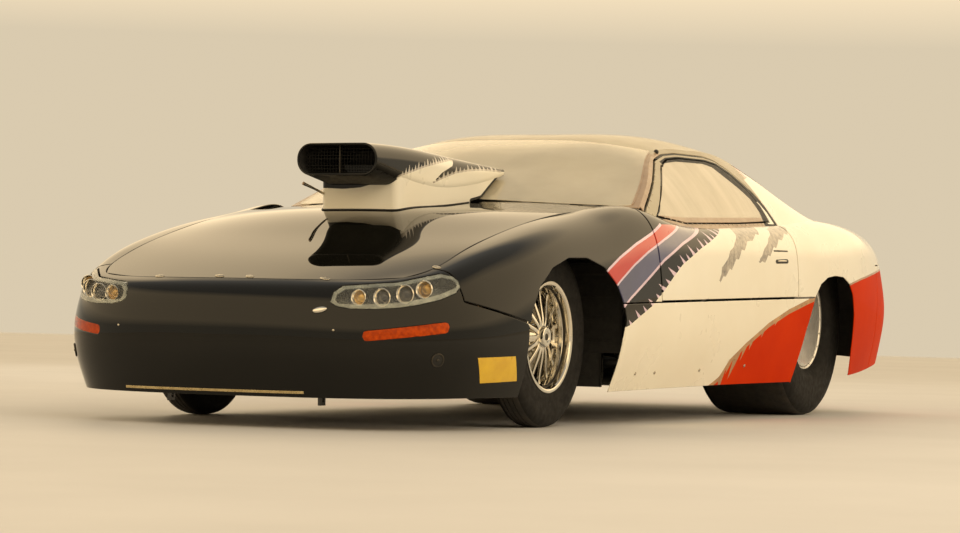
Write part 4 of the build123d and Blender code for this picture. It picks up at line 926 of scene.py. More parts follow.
left = side_panels()
PANEL_T = {"left_door_skin": 52.0}
for name, m in left.items():
    body = "chassis" if "door" not in name else "left_door"
    for s, sheet_ in (("left", m), ("right", mirrored(m))):
        nm = name.replace("left", s)
        out = panel(Mesh(), sheet_, t=PANEL_T.get(name, 4.0), r=R_EDGE, inner_paint=K["inner"])
        ob = finish_mesh(nm + "_paint", out, BODY_MATS, body.replace("left", s))
        cad = nm.replace("_skin", "")
        if "door" not in name:
            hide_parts(cad)

# nose cover, all round the front
n = sheet(RING, U_ROW[-6], U_ROW[6], 0, 1, 13)
n = keep_in(n, NOSE_OUT, grow=-R_EDGE)
for hole in (LAMP_HOLE, TURN_HOLE):
    n = keep_out(n, hole, "qz", grow=R_EDGE)
    n = keep_out(n, hole, "pz", grow=R_EDGE)
ob = finish_mesh("nose_paint", panel(Mesh(), n, inner_paint=K["inner"]), BODY_MATS, "chassis")
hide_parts("nose")

# hood
h = sheet(HOOD, 0.004, 1, 0.006, 0.994, 14)
h = keep_out(h, [(-420, -140), (-420, 140), (50, 140), (50, -140)], "xy", grow=R_EDGE)
ob = finish_mesh("hood_paint", panel(Mesh(), h, inner_paint=K["inner"]), BODY_MATS, "chassis")
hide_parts("hood")

# rear bumper cover, round the tail
TAIL_NET = Net([half[i] for i in range(13, 20)] + [half[i] * MIRROR for i in range(18, 12, -1)])
b = sheet(TAIL_NET, TAIL_NET.tu[2], TAIL_NET.tu[-3], 0, 1, 13)
b = keep_in(b, BUMPER_OUT, grow=-R_EDGE)
TAIL_HOLE = [(295, 689), (295, 787), (520, 785), (662, 781), (720, 772), (743, 737), (747, 695), (640, 687)]
b = keep_out(b, TAIL_HOLE, "yz", grow=R_EDGE)
b = keep_out(b, [(-y, z) for y, z in TAIL_HOLE], "yz", grow=R_EDGE)
b["c"][:] = K["white"]
b = paint(b, ORANGE_REAR, K["orange"])
b = stripe(b, BUMPER_LINE, 9, K["gold"])
ob = finish_mesh("bumper_paint", panel(Mesh(), b, inner_paint=K["inner"]), BODY_MATS, "chassis")
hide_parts("rear_bumper")

# deck lid
d = sheet(DECK, 0.014, 0.985, 0.0075, 0.9925, 14)
d["c"][:] = K["white"]
ob = finish_mesh("deck_paint", panel(Mesh(), d, t=14, inner_paint=K["inner"]), BODY_MATS, "deck_lid")
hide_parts("deck_lid")

# ---------------- greenhouse ----------------
U_WS, U_BLT = CAP.tu[2], CAP.tu[4] + 0.35 * (CAP.tu[5] - CAP.tu[4])
CAP_LU = np.linalg.norm(np.diff(CAP.grid(np.linspace(0, 1, 80), [.5])[:, 0], axis=0), axis=1).sum()
CAP_LV = np.linalg.norm(np.diff(CAP.grid([.5], np.linspace(0, 1, 80))[0], axis=0), axis=1).sum()


def rounded(u0, u1, v0, v1, r, k=5):
    """outline with round corners, in mm along and across the cap"""
    out = []
    for cx, cy, a0 in ((u1 - r, v1 - r, 0), (u0 + r, v1 - r, 90), (u0 + r, v0 + r, 180), (u1 - r, v0 + r, 270)):
        for i in range(k + 1):
            a = math.radians(a0 + 90 * i / k)
            out.append((cx + r * math.cos(a), cy + r * math.sin(a)))
    return out


WS = (-40, (U_WS - .012) * CAP_LU, .050 * CAP_LV, .950 * CAP_LV)
BL = (U_BLT * CAP_LU, CAP_LU + 40, .050 * CAP_LV, .950 * CAP_LV)
c = sheet(CAP, 0.004, 0.994, 0.0, 1.0, 14)
c = keep_out(c, rounded(*WS, 46), "uv", grow=R_EDGE)
c = keep_out(c, rounded(*BL, 46), "uv", grow=R_EDGE)
# roof in a darker copy of the white paint, painted shade that keeps the top-lit roof from coming out brighter than the
# sides, with the stripes crossing behind it, tan window pillars
c["c"][:] = K["roof"]
c = paint(c, [(-2200, -900), (-2200, 900), (-3100, 900), (-3100, -900)], K["red"], "xy")
c = paint(c, [(-2252, -900), (-2252, 900), (-3100, 900), (-3100, -900)], K["line"], "xy")
c = paint(c, [(-2310, -900), (-2310, 900), (-3100, 900), (-3100, -900)], K["white"], "xy")
c = stripe(c, [(-2200, -900), (-2200, 900)], 6, K["line"], "xy")
for sg in (1, -1):
    c = paint(c, [(-500, sg * 400), (-1330, sg * 455), (-1400, sg * 900), (-500, sg * 900)], K["tan"], "xy", only=[K["roof"]])
c = stripe(c, [(-2190, 1112), (-2258, 1091), (-2449, 1029), (-2640, 957), (-2830, 883)], 15, K["seal"], "xz")
ob = finish_mesh("roof_paint", panel(Mesh(), c, t=4, inner_paint=K["inner"]), BODY_MATS, "chassis")
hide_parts("roof")

UPPER = [(-812, 872), (-850, 894), (-1118, 1004), (-1320, 1092), (-1440, 1116), (-1560, 1124), (-1830, 1119), (-1935, 1106), (-2020, 1068), (-2095, 1000), (-2140, 925), (-2148, 850), (-2148, 700), (-812, 700)]
UPPER_GAP = [(-806, 880), (-847, 900), (-1116, 1010), (-1319, 1098), (-1439, 1122), (-1560, 1130), (-1832, 1125), (-1939, 1112), (-2025, 1073), (-2101, 1003), (-2147, 926), (-2155, 850), (-2155, 700), (-806, 700)]
WINDOW = [(-905, 868), (-1130, 973), (-1330, 1068), (-1440, 1098), (-1560, 1106), (-1800, 1102), (-1905, 1090), (-1985, 1052), (-2050, 990), (-2085, 920), (-2078, 858), (-1700, 848), (-1150, 842)]
WIN_GAP = [(-892, 862), (-1126, 977), (-1327, 1072), (-1439, 1102), (-1560, 1110), (-1801, 1106), (-1908, 1094), (-1989, 1055), (-2055, 992), (-2090, 920), (-2084, 853), (-1700, 843), (-1150, 837)]
CLEAR = [(-906, 862), (-1128, 969), (-1322, 1061), (-1385, 1083), (-1505, 1093), (-1760, 1091), (-1836, 1079), (-1888, 1042), (-1958, 996), (-2014, 950), (-2026, 900), (-2000, 838), (-1700, 834), (-1150, 830)]
SLIVER = [(-2068, 950), (-2062, 900), (-2044, 846), (-2118, 846), (-2113, 896), (-2090, 936)]
side = sheet(GLASS, 0.012, 0.985, 0.004, 0.996, 12, flip=1)
sail = keep_out(side, UPPER_GAP, grow=R_EDGE)
# the sail's front takes the roof's darkened copy of the white paint (painted shade)
sail["c"][:] = K["roof"]
sail = paint(sail, [(-2200, 1300), (-2200, 600), (-3100, 600), (-3100, 1300)], K["red"])
sail = paint(sail, [(-2252, 1300), (-2252, 600), (-3100, 600), (-3100, 1300)], K["line"])
sail = paint(sail, [(-2310, 1300), (-2305, 1050), (-2150, 1035), (-2120, 700), (-3100, 600), (-3100, 1300)], K["white"])
sail = paint(sail, [(-700, 1300), (-1420, 1300), (-1420, 1100), (-700, 700)], K["tan"])
sail = stripe(sail, [(-2190, 1103), (-2258, 1082), (-2449, 1020), (-2640, 948), (-2830, 874)], 17, K["seal"])
frame_ = keep_in(sheet(GLASS, 0.012, 0.985, 0.0, 0.996, 12, flip=1), UPPER, grow=-R_EDGE)
frame_ = keep_out(frame_, WIN_GAP, grow=R_EDGE)
frame_["c"][:] = K["seal"]
frame_ = paint(frame_, [(-780, 890), (-1126, 1030), (-1327, 1130), (-1352, 1130), (-1352, 1078), (-1327, 1070), (-1126, 974), (-884, 856), (-905, 840), (-780, 840)], K["roof"])
frame_ = stripe(frame_, UPPER[3:10], 18, K["roof"])
frame_ = paint(frame_, [(-780, 700), (-780, 852), (-2000, 852), (-2010, 700)], K["tan"])
frame_ = paint(frame_, SLIVER, K["white"])
pane = keep_in(side, WINDOW, grow=-1.5)
pane["c"][:] = K["seal"]
pane = paint(pane, CLEAR, K["side_glass"])
pane = paint(pane, [(-840, 820), (-1320, 1092), (-1335, 1062), (-1150, 940), (-950, 840), (-930, 800)], K["side_glass"], only=[K["seal"]])
pane = paint(pane, [(-800, 800), (-800, 884), (-930, 868), (-1150, 862), (-1700, 868), (-2000, 872), (-2030, 800)], K["tan"], only=[K["side_glass"]])
for s, f in (("left", lambda m: m), ("right", mirrored)):
    ob = finish_mesh(s + "_sail_paint", panel(Mesh(), f(sail), inner_paint=K["inner"]), BODY_MATS, "chassis")
    skin_ = bpy.data.objects[s + "_door_skin_paint"]
    ob = finish_mesh(s + "_door_frame", panel(Mesh(), f(frame_), t=18, inner_paint=K["inner"]), BODY_MATS, s + "_door")
    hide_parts(s + "_door")
    ob = finish_mesh(s + "_door_pane", panel(Mesh(), f(pane), t=4, r=1.0), BODY_MATS, s + "_door")
    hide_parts(s + "_door_glass")

def keep_rim(w, u0, u1, v0, v1):
    """riveted borders down both sides of the windscreen"""
    for a, b in ((v0, v0 + .004), (v1 - .004, v1)):
        w = paint(w, [(u0 * CAP_LU - 30, a * CAP_LV - (20 if a == v0 else 0)), (u1 * CAP_LU + 30, a * CAP_LV - (20 if a == v0 else 0)),
                      (u1 * CAP_LU + 30, b * CAP_LV + (20 if b == v1 else 0)), (u0 * CAP_LU - 30, b * CAP_LV + (20 if b == v1 else 0))], K["tan"], "uv")
    return w


# windscreen and rear window, sheets laid over the pillars
for name, cad, (u0, u1, v0, v1) in (("windscreen_sheet", "windscreen", (0.006, U_WS - .006, .012, .988)), ("rear_sheet", "rear_window", (U_BLT - .006, 0.988, .02, .98))):
    w = sheet(CAP, u0, u1, v0, v1, 14, move=3.2)
    w = keep_in(w, rounded(u0 * CAP_LU + 1, u1 * CAP_LU - 1, v0 * CAP_LV + 1, v1 * CAP_LV - 1, 30), "uv")
    w["c"][:] = K["glass"]
    if cad == "windscreen":
        w = keep_rim(w, u0, u1, v0, v1)
    ob = finish_mesh(name, panel(Mesh(), w, t=3, r=1.2), BODY_MATS, "chassis")
    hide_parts(cad)


# ---------------- lamps, scoop and small fittings ----------------
def spotter(net, u0, u1, v0, v1, nu, nv, flip):
    """finds the point and normal on a net at two given coordinates"""
    u, v = np.linspace(u0, u1, nu), np.linspace(v0, v1, nv)
    P, N = net.grid(u, v).reshape(-1, 3), (net.normals(u, v) * flip).reshape(-1, 3)

    def at(a, b, axes="xz", side=0):
        i, j, k = {"xz": (0, 2, 1), "xy": (0, 1, 2), "yz": (1, 2, 0)}[axes]
        d = (P[:, i] - a) ** 2 + (P[:, j] - b) ** 2 + (1e9 * (P[:, 1] * side < 0) if side else 0)
        if axes == "yz":
            d = d + 1e9 * (P[:, 0] < 0)
        q = int(np.argmin(d))
        p, n = P[q].copy(), N[q]
        da, db = a - p[i], b - p[j]
        if abs(n[k]) > 0.2 and abs(da) < 20 and abs(db) < 20:
            p[k] -= (n[i] * da + n[j] * db) / n[k]
            p[i], p[j] = a, b
        return p, n
    return at


on_ring = spotter(RING, U_ROW[-7], RING.tu[-1], 0, 1, 1300, 120, -1)
on_side = spotter(GLASS, 0, 1, 0, 1, 500, 120, 1)
on_cap = spotter(CAP, 0, 1, 0, 1, 500, 400, -1)
on_hood = spotter(HOOD, 0, 1, 0, 1, 400, 300, -1)


def basis(n):
    a = unit(np.cross((0, 0, 1.0) if abs(n[2]) < 0.9 else (1.0, 0, 0), n))
    return a, np.cross(n, a)


def dome(s, p, n, r, h, colour=0, sides=12, oval=1.0, along_=None, sink=0.6):
    """low round head standing on a surface; oval stretches it along one way"""
    a, b = basis(n)
    if along_ is not None:
        a = unit(np.array(along_, float) - n * (n @ np.array(along_, float)))
        b = np.cross(n, a)
    rows = []
    for q, z in ((1.0, -sink), (1.0, h * .35), (.86, h * .75), (.55, h * .96), (.12, h)):
        rows.append([np.array(p) + n * z + (a * math.cos(t) * oval + b * math.sin(t)) * r * q for t in [2 * math.pi * k / sides for k in range(sides)]])
    s.rings(rows, colour)


def one(name, m, mat, body, slot, t=3.0, r=1.0, **kw):
    m["c"][:] = 0
    return finish_mesh(name, panel(Mesh(), m, t=t, r=r, **kw), [M[mat]], body)


def tray(out, m, top, depth, shrink, colour=0):
    """open box behind a sheet: a wall round its edge and a floor"""
    m = picked(m, np.arange(len(m["t"])))
    p, n, T = m["p"], m["n"], m["t"]
    e = border(T)
    o = unit(np.cross(p[e[:, 1]] - p[e[:, 0]], n[e[:, 0]] + n[e[:, 1]]))
    acc = np.zeros_like(p)
    np.add.at(acc, e[:, 0], o)
    np.add.at(acc, e[:, 1], o)
    acc = unit(acc)
    edge_ = np.zeros(len(p), bool)
    edge_[np.unique(e)] = True
    low = out.points(p - n * depth - acc * shrink * edge_[:, None])
    hi = out.points(p - n * top)
    out.faces(low[T], n[T], colour)
    out.faces(np.stack([hi[e[:, 0]], hi[e[:, 1]], low[e[:, 1]], low[e[:, 0]]], 1),
              -np.stack([acc[e[:, 0]], acc[e[:, 1]], acc[e[:, 1]], acc[e[:, 0]]], 1), colour)
    # the outside of the box
    back, rim = out.points(p - n * (depth + 2) - acc * (shrink - 2) * edge_[:, None]), out.points(p - n * top + acc * 2 * edge_[:, None])
    out.faces(back[T[:, ::-1]], -n[T[:, ::-1]], colour)
    a0, a1 = e[:, 0], e[:, 1]
    out.faces(np.stack([rim[a1], rim[a0], back[a0], back[a1]], 1), np.stack([acc[a1], acc[a0], acc[a0], acc[a1]], 1), colour)
    out.faces(np.stack([rim[a0], rim[a1], hi[a1], hi[a0]], 1), np.stack([n[a0], n[a1], n[a1], n[a0]], 1), colour)
    return out


lens = keep_in(sheet(RING, U_ROW[1], U_ROW[6], 0, .55, 9), LAMP_HOLE, "qz", grow=-2.0)
turn = keep_in(sheet(RING, U_ROW[1], U_ROW[6], 0.2, .75, 7), TURN_HOLE, "qz", grow=-1.2)
LP = lens["p"]
CUPS = [(-352, 566, 27), (-282, 568, 31), (-205, 574, 32), (-128, 592, 30)]
for s, f in (("left", lambda m: m), ("right", mirrored)):
    L = f(lens)
    L["p"] = L["p"] + L["n"] * 1.0
    L["c"][:] = 0
    L = stripe(L, LAMP_HOLE + LAMP_HOLE[:1], 22, 1, "qz" if s == "left" else "pz")
    L = stripe(L, [(-438, 534), (-378, 533), (-300, 535), (-222, 541), (-152, 552), (-78, 567), (-10, 590)], 16, 1, "qz" if s == "left" else "pz")
    ob = finish_mesh(s + "_lamp_lens", panel(Mesh(), L, t=3.5, r=1.6), [M["lens"], M["lens_edge"]], "chassis")
    if s == "left":
        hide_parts("head_lamps")
    ob = finish_mesh(s + "_lamp_housing", tray(Mesh(), f(lens), 6, 44, 9), [M["lampback"]], "chassis")
    cups = Solid()
    sg = 1 if s == "left" else -1
    for k, (q, z, r) in enumerate(CUPS):
        i = int(np.argmin((( -LP[:, 0] + LP[:, 1]) * H - q) ** 2 + (LP[:, 2] - z) ** 2))
        c0 = LP[i] * (1, sg, 1) - np.array([10.0, sg * 4, 0])
        prof = [(0, r * .93), (1.5, r), (-1, r * 1.06), (-6, r * 1.05), (-30, r * .62), (-36, r * .2), (-36, 0), (-33, 0), (-33, r * .18), (-27, r * .55), (-14, r * .8)]
        cups.lathe(prof, c0, 40, 0, "x", closed=True)
        # the bulbs of the first and last bowls take the warm bright finish and the middle two the dark one: painted
        # reflection
        dome(cups, c0 - np.array([30.0, 0, 0]), np.array([1.0, 0, 0]), r * .62, r * .5, 1 if k in (0, 3) else 2, 20)
    cups.done(s + "_lamp_bowls", [M["chrome"], M["bulb"], M["dark_bulb_reflection"]], "chassis", "bare_aluminium", angle=40)
    T_ = f(turn)
    T_["p"] = T_["p"] - T_["n"] * 0.5
    ob = one(s + "_turn_lens", T_, "amber", "chassis", "amber_glass", t=7, r=1.6)
    if s == "left":
        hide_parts("turn_lamps")

tail = keep_in(sheet(TAIL_NET, TAIL_NET.tu[3], TAIL_NET.tu[-4], 0, .6, 9), TAIL_HOLE, "yz", grow=-1.5)
out = Mesh()
for f in (lambda m: m, mirrored):
    m = f(tail)
    sg = 1 if f(tail)["p"][0, 1] > 0 else -1
    m["p"] = m["p"] - m["n"] * (1.2 + 1.0 * np.cos(m["p"][:, 2:3] * 2 * math.pi / 14))
    m["c"][:] = 0
    m = paint(m, [(sg * 395, 600), (sg * 395, 900), (sg * 480, 900), (sg * 480, 600)], 1, "yz")
    m = paint(m, [(sg * 600, 600), (sg * 600, 900), (sg * 640, 900), (sg * 640, 600)], 2, "yz")
    panel(out, m, t=7, r=1.6)
ob = finish_mesh("tail_lenses", out, [M["redlens"], M["lens_white"], M["amber"]], "chassis")
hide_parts("tail_lamps")
bez = Mesh()
for f in (lambda m: m, mirrored):
    tray(bez, f(tail), 8, 30, 6)
finish_mesh("tail_lamp_housing", bez, [M["plastic"]], "chassis")

# ---------------- hood scoop ----------------
SCOOP = [(240, 166, 994, 1113, 57), (60, 166, 962, 1111, 56), (-160, 165, 930, 1101, 54), (-480, 162, 936, 1077, 48), (-870, 156, 1018, 1045, 12)]
SC = np.array(SCOOP, float)
SW = (SC[0, 0] - SC[:, 0]) / (SC[0, 0] - SC[-1, 0])


def scoop_at(x):
    w = spline_weights(SW, [(SC[0, 0] - x) / (SC[0, 0] - SC[-1, 0])])[0]
    return w @ SC[:, 1:]


def rrect(w, z0, z1, r, n=72):
    """round-cornered section as n even points, (y, z)"""
    r = min(r, (z1 - z0) / 2 - 0.5, w - 1)
    pts = []
    for cy, cz, a0 in ((w - r, z1 - r, 0), (-w + r, z1 - r, 90), (-w + r, z0 + r, 180), (w - r, z0 + r, 270)):
        for k in range(9):
            a = math.radians(a0 + 90 * k / 8)
            pts.append((cy + r * math.cos(a), cz + r * math.sin(a)))
    pts = np.array(pts + pts[:1])
    d = np.concatenate([[0], np.cumsum(np.linalg.norm(np.diff(pts, axis=0), axis=1))])
    s = np.linspace(0, d[-1], n, endpoint=False)
    return np.stack([np.interp(s, d, pts[:, 0]), np.interp(s, d, pts[:, 1])], 1)


xs = np.linspace(236, -866, 96)
rows = []
for x in xs:
    w, z0, z1, r = scoop_at(x)
    rows.append([(x, y, z) for y, z in rrect(w, z0, z1, max(r, 10))])
duct = grid_sheet(rows, wrap=True, flip=1)
if (duct["n"][:, 2] * (duct["p"][:, 2] - 1030)).mean() < 0:
    duct["n"], duct["t"] = -duct["n"], duct["t"][:, ::-1]
SCOOP_LINE = [(300, 930), (90, 930), (62, 994), (43, 1000), (-30, 1014), (-109, 1029), (-167, 1040), (-236, 1050), (-307, 1059), (-379, 1067), (-417, 1066), (-392, 1046), (-300, 1018), (-212, 976), (-314, 1000), (-418, 1021), (-520, 1031), (-631, 1037), (-740, 1037), (-838, 1035), (-900, 1034)]
SCOOP_WHITE = SCOOP_LINE + [(-900, 800), (300, 800)]
UPPER_EDGE = [(62, 994), (43, 1000), (-30, 1014), (-109, 1029), (-167, 1040), (-236, 1050), (-307, 1059), (-379, 1067), (-417, 1066)]
LOWER_EDGE = [(-212, 976), (-314, 1000), (-418, 1021), (-520, 1031), (-631, 1037), (-740, 1037), (-838, 1035)]


def scoop_paint(m):
    m["c"][:] = K["black"]
    m = paint(m, SCOOP_WHITE, K["white"])
    m = stripe(m, UPPER_EDGE, 7, K["torn"])
    m = stripe(m, LOWER_EDGE, 7, K["torn"])
    for k in range(17):
        q = 0.06 + 0.92 * k / 17
        m = paint(m, tooth(UPPER_EDGE, q, 13 + 7 * ((k * 7) % 3), 21, .4), K["fringe"], only=[K["black"], K["torn"]])
    for k in range(15):
        q = 0.10 + 0.88 * k / 15
        m = paint(m, tooth(LOWER_EDGE, q, 11 + 6 * ((k * 5) % 3), 26, .45), K["fringe"], only=[K["black"], K["torn"]])
    return m


def capped(row, x_shift, colour, out, n):
    """flat fan over one ring of points"""
    p = np.array(row, float)
    c = p.mean(0) + np.array([x_shift, 0, 0])
    idx = out.points(np.vstack([p, c]))
    k = len(p)
    f = [(idx[i], idx[(i + 1) % k], idx[k]) for i in range(k)]
    q0 = np.cross(p[1] - p[0], c - p[0])
    if q0 @ np.array(n) < 0:
        f = [t[::-1] for t in f]
    out.faces(np.array(f), np.broadcast_to(np.array(n, float), (k, 3, 3)), colour)


out = Mesh()
dm = scoop_paint(duct)
# the downward-facing faces of the duct's overhang in front of the neck take the dark rubber finish: painted shade under
# the duct
low_ = (dm["n"][dm["t"]][:, :, 2].mean(1) < -0.55) & (dm["p"][dm["t"]][:, :, 0].min(1) > 40)
dm["c"][low_] = K["seal"]
top = out.points(dm["p"])
out.faces(top[dm["t"]], dm["n"][dm["t"]], dm["c"])
# rounded mouth lip and the dark inside
lip = []
for a, off, x in ((0, 0, 236), (30, .7, 238.3), (60, 2.3, 239.6), (90, 4.5, 240), (120, 6.8, 239.4), (150, 8.2, 237.8), (180, 8.8, 235)):
    w, z0, z1, r = scoop_at(236)
    lip.append([(x, y, z) for y, z in rrect(w - off, z0 + off, z1 - off, r - off)])
lip_m = grid_sheet(lip, wrap=True)
ring_ = np.array(lip)
base_, inn_ = np.array(lip[0]), np.array(lip[-1])
mid_ = (base_ + inn_) / 2
nn = unit(ring_ - mid_[None] + np.array([0.001, 0, 0]))
lip_m["n"] = nn.reshape(-1, 3)
tt = lip_m["t"]
fn = np.cross(lip_m["p"][tt[:, 1]] - lip_m["p"][tt[:, 0]], lip_m["p"][tt[:, 2]] - lip_m["p"][tt[:, 0]])
sgn = np.sign((fn * lip_m["n"][tt[:, 0]]).sum(1))
tt[sgn < 0] = tt[sgn < 0][:, ::-1]
i0 = out.points(lip_m["p"])
out.faces(i0[tt], lip_m["n"][tt], K["black"])
rows = []
for x in np.linspace(235, -150, 24):
    w, z0, z1, r = scoop_at(max(x, -150))
    rows.append([(x, y, z) for y, z in rrect(w - 8.8, z0 + 8.8, z1 - 8.8, max(r - 8.8, 4))])
inn = grid_sheet(rows, wrap=True)
if (inn["n"][:, 2] * (inn["p"][:, 2] - 1045)).mean() > 0:
    inn["n"], inn["t"] = -inn["n"], inn["t"][:, ::-1]
i0 = out.points(inn["p"])
out.faces(i0[inn["t"]], inn["n"][inn["t"]], K["inner"])
capped(rows[-1], 0, K["inner"], out, (1, 0, 0))
# the duct's rear end is closed with a dark rubber cap that stands for the shade in its open end: painted shade
w, z0, z1, r = scoop_at(-866)
capped([(-866, y, z) for y, z in rrect(w, z0, z1, 10)], -1, K["seal"], out, (-1, 0, 0))
# neck between the duct and the hood: as wide as the duct, round at its front corners
NECK_PLAN = [(-846, 153), (-480, 159.5), (-160, 162.5), (-60, 162.3), (10, 162)] + [(40 + 26 * math.sin(a), 133 + 28 * math.cos(a)) for a in [math.pi / 2 * k / 14 for k in range(15)]] + [(67.5, 60), (68, 0)]
NECK_PLAN = NECK_PLAN + [(x, -y) for x, y in NECK_PLAN[-2::-1]]
NECK_LOW = [(-560, 914), (-655, 928), (-751, 980), (-846, 1030)]


def plan_points(step_long, step_short):
    """points along the neck's outline from its left rear corner round the front, closer together on the corners"""
    pts = []
    for (xa, ya), (xb, yb) in zip(NECK_PLAN, NECK_PLAN[1:]):
        d = math.hypot(xb - xa, yb - ya)
        n_ = max(1, int(d / (step_long if d > 45 else step_short)))
        pts += [(xa + (xb - xa) * i / n_, ya + (yb - ya) * i / n_) for i in range(n_)]
    return pts + [NECK_PLAN[-1]]


def neck_foot(x, y):
    return on_hood(x, y, "xy")[0][2] if x > -560 else float(np.interp(-x, [-a for a, _ in NECK_LOW], [b for _, b in NECK_LOW]))


rows = []
for x, y in plan_points(14, 7):
    lo_ = neck_foot(x, y) - (6 if x > -560 else 0)
    hi_ = max(1036.0, lo_ + 6)
    rows.append([(x - (1000 - z) * .03 * max(0.0, (x + 60) / 128) * (abs(y) < 163), y, z) for z in np.linspace(lo_, hi_, 20)])
neck = grid_sheet(rows)
if (neck["n"][:, 1] * neck["p"][:, 1]).mean() < 0:
    neck["n"], neck["t"] = -neck["n"], neck["t"][:, ::-1]
neck["n"] = unit(neck["n"] * np.array([1, 1, 0.2]))
tx = neck["p"][neck["t"]][:, :, 0].min(1)
front_, sides_ = picked(neck, tx > 44), picked(neck, tx <= 44)
nm = scoop_paint(sides_)
nm = stripe(nm, [(-846, 1030), (-751, 980), (-655, 928), (-560, 914)], 20, K["seal"])
i0 = out.points(nm["p"])
out.faces(i0[nm["t"]], nm["n"][nm["t"]], nm["c"])
front_["c"][:] = K["white"]
# the black band across the neck's front, lowest in the middle and rising to meet the side's black at the corners, is
# partly the scoop's black paint and partly painted shadow under the duct's overhang
front_ = paint(front_, [(-200, 951), (-141, 951), (-64, 948), (6, 953), (75, 970), (144, 988), (163, 1000), (200, 1001), (200, 1200), (-200, 1200)], K["black"], "yz")
i0 = out.points(front_["p"])
out.faces(i0[front_["t"]], front_["n"][front_["t"]], front_["c"])
ob = finish_mesh("scoop_body", out, BODY_MATS, "chassis")
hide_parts("hood_scoop")

sc = Solid()
# wire guard in the mouth
for y in np.linspace(-146, 146, 25):
    hz = 1045 if abs(y) < 110 else 1045 - (abs(y) - 110) ** 2 / 60
    sc.tube([(196, y, 996 + (1045 - hz)), (200, y, 1050), (196, y, 1100 - (1045 - hz))], 1.1, 6)
for z in np.linspace(1006, 1092, 8):
    sc.tube([(198, -150, z), (201, 0, z), (198, 150, z)], 1.1, 6)
sc.tube([(214, 0, 1003), (214, 0, 1104)], 2.2, 10, 1)
sc.done("scoop_guard", [M["gauze"], M["steel"]], "chassis", "dark_steel", angle=60)
sc = Solid()
sc.block((-846, 112, 921), (-640, 158, 925), 0)
sc.block((-846, -158, 921), (-640, -112, 925), 0)
bead = [(x * 1.0 + (1.5 if x > 60 else 0), y + (1.5 if y > 0 else -1.5), neck_foot(x, y) + 1.6) for x, y in plan_points(30, 7) if x > -560]
sc.tube(bead, [2.6 + 1.2 * min(1.0, max(0.0, (x + 300) / 300)) for x, y, z in bead], 8, 0)
sc.tube([(58, -150, 930), (100, -168, 948), (146, -188, 966)], [4.5, 4.5, 6.5], 10, 1)
dome(sc, np.array([146, -188, 966.0]), unit(np.array([.86, -.35, .34])), 6.5, 5, 2)
sc.done("scoop_brackets", [M["seal"], M["screw"], M["tan"]], "chassis", "dark_steel", angle=40, bevel=0.8)

# ---------------- small fittings ----------------
st = Solid()
for x, y, w in ((965, -310, 2.3), (985, -62, 2.3), (985, 58, 2.0), (956, 340, 2.4), (731, 651, 2.0)):
    p, n_ = on_hood(min(x - 12, 964), y, "xy")
    dome(st, p, n_, 8.5, 4.5, 0, 18, w, (0.15, 1, 0))
# polished pins beside the lamps: the big polished oval, on the left only, is a painted highlight that stands for the
# reflection of a hood pin; the small studs sit beside both lamps
for sg in (1, -1):
    p, n_ = on_ring(372, 521, "yz", 1)
    if sg > 0:
        dome(st, p, n_, 10.5, 8, 2, 22, 2.5, (-.25, 1, .22))
    p, n_ = on_ring(424, 454, "yz", 1)
    dome(st, p * (1, sg, 1), n_ * (1, sg, 1), 4.5, 3, 0)
for sg in (1, -1):
    for x, z in ((-616, 265), (-804, 262), (-1250, 258), (-1700, 262)):
        p, n_ = on_ring(x, z, "xz", sg)
        dome(st, p, n_, 7, 3.5, 0)
    # bolt at the top of the pillar
    p, n_ = on_side(-1404, 1128, "xz")
    p, n_ = p * (1, sg, 1), n_ * (1, sg, 1)
    dome(st, p, n_, 10, 11, 1, 20)
    # ring fitting low on the corner of the nose
    p, n_ = on_ring(848, 355, "xz", 1)
    p, n_ = p * (1, sg, 1), n_ * (1, sg, 1)
    a_, b_ = basis(n_)
    circ = [p + n_ * 1.0 + (a_ * math.cos(t) + b_ * math.sin(t)) * 22 for t in [2 * math.pi * k / 28 for k in range(29)]]
    st.tube(circ, 2.6, 8, 3)
    dome(st, p - n_ * .5, n_, 21, 2.0, 1, 24)
    dome(st, p + n_ * .5, n_, 6, 5.0, 3, 16)
st.done("studs", [M["screw"], M["seal"], M["chrome"], M["steel"]], "chassis", "bare_aluminium", angle=50)

# rivets along the door's window flanges, moving with the door
for s, sg in (("left", 1), ("right", -1)):
    rv = Solid()
    for k in range(24):
        x = -870 - k * 48.0
        p, n_ = on_side(x, float(np.interp(-x, [900, 1150, 1700, 2000], [872, 838, 840, 846])) - 2, "xz")
        dome(rv, p * (1, sg, 1), n_ * (1, sg, 1), 4.6, 2.2, 0, 10)
    for x, z in [(-905 - 60 * k, 890 + k * 26.2) for k in range(8)]:
        p, n_ = on_side(x + 28, z + 8, "xz")
        dome(rv, p * (1, sg, 1), n_ * (1, sg, 1), 4.6, 2.2, 0, 10)
    rv.done(s + "_door_rivets", [M["screw"]], s + "_door", "bare_aluminium", angle=50)

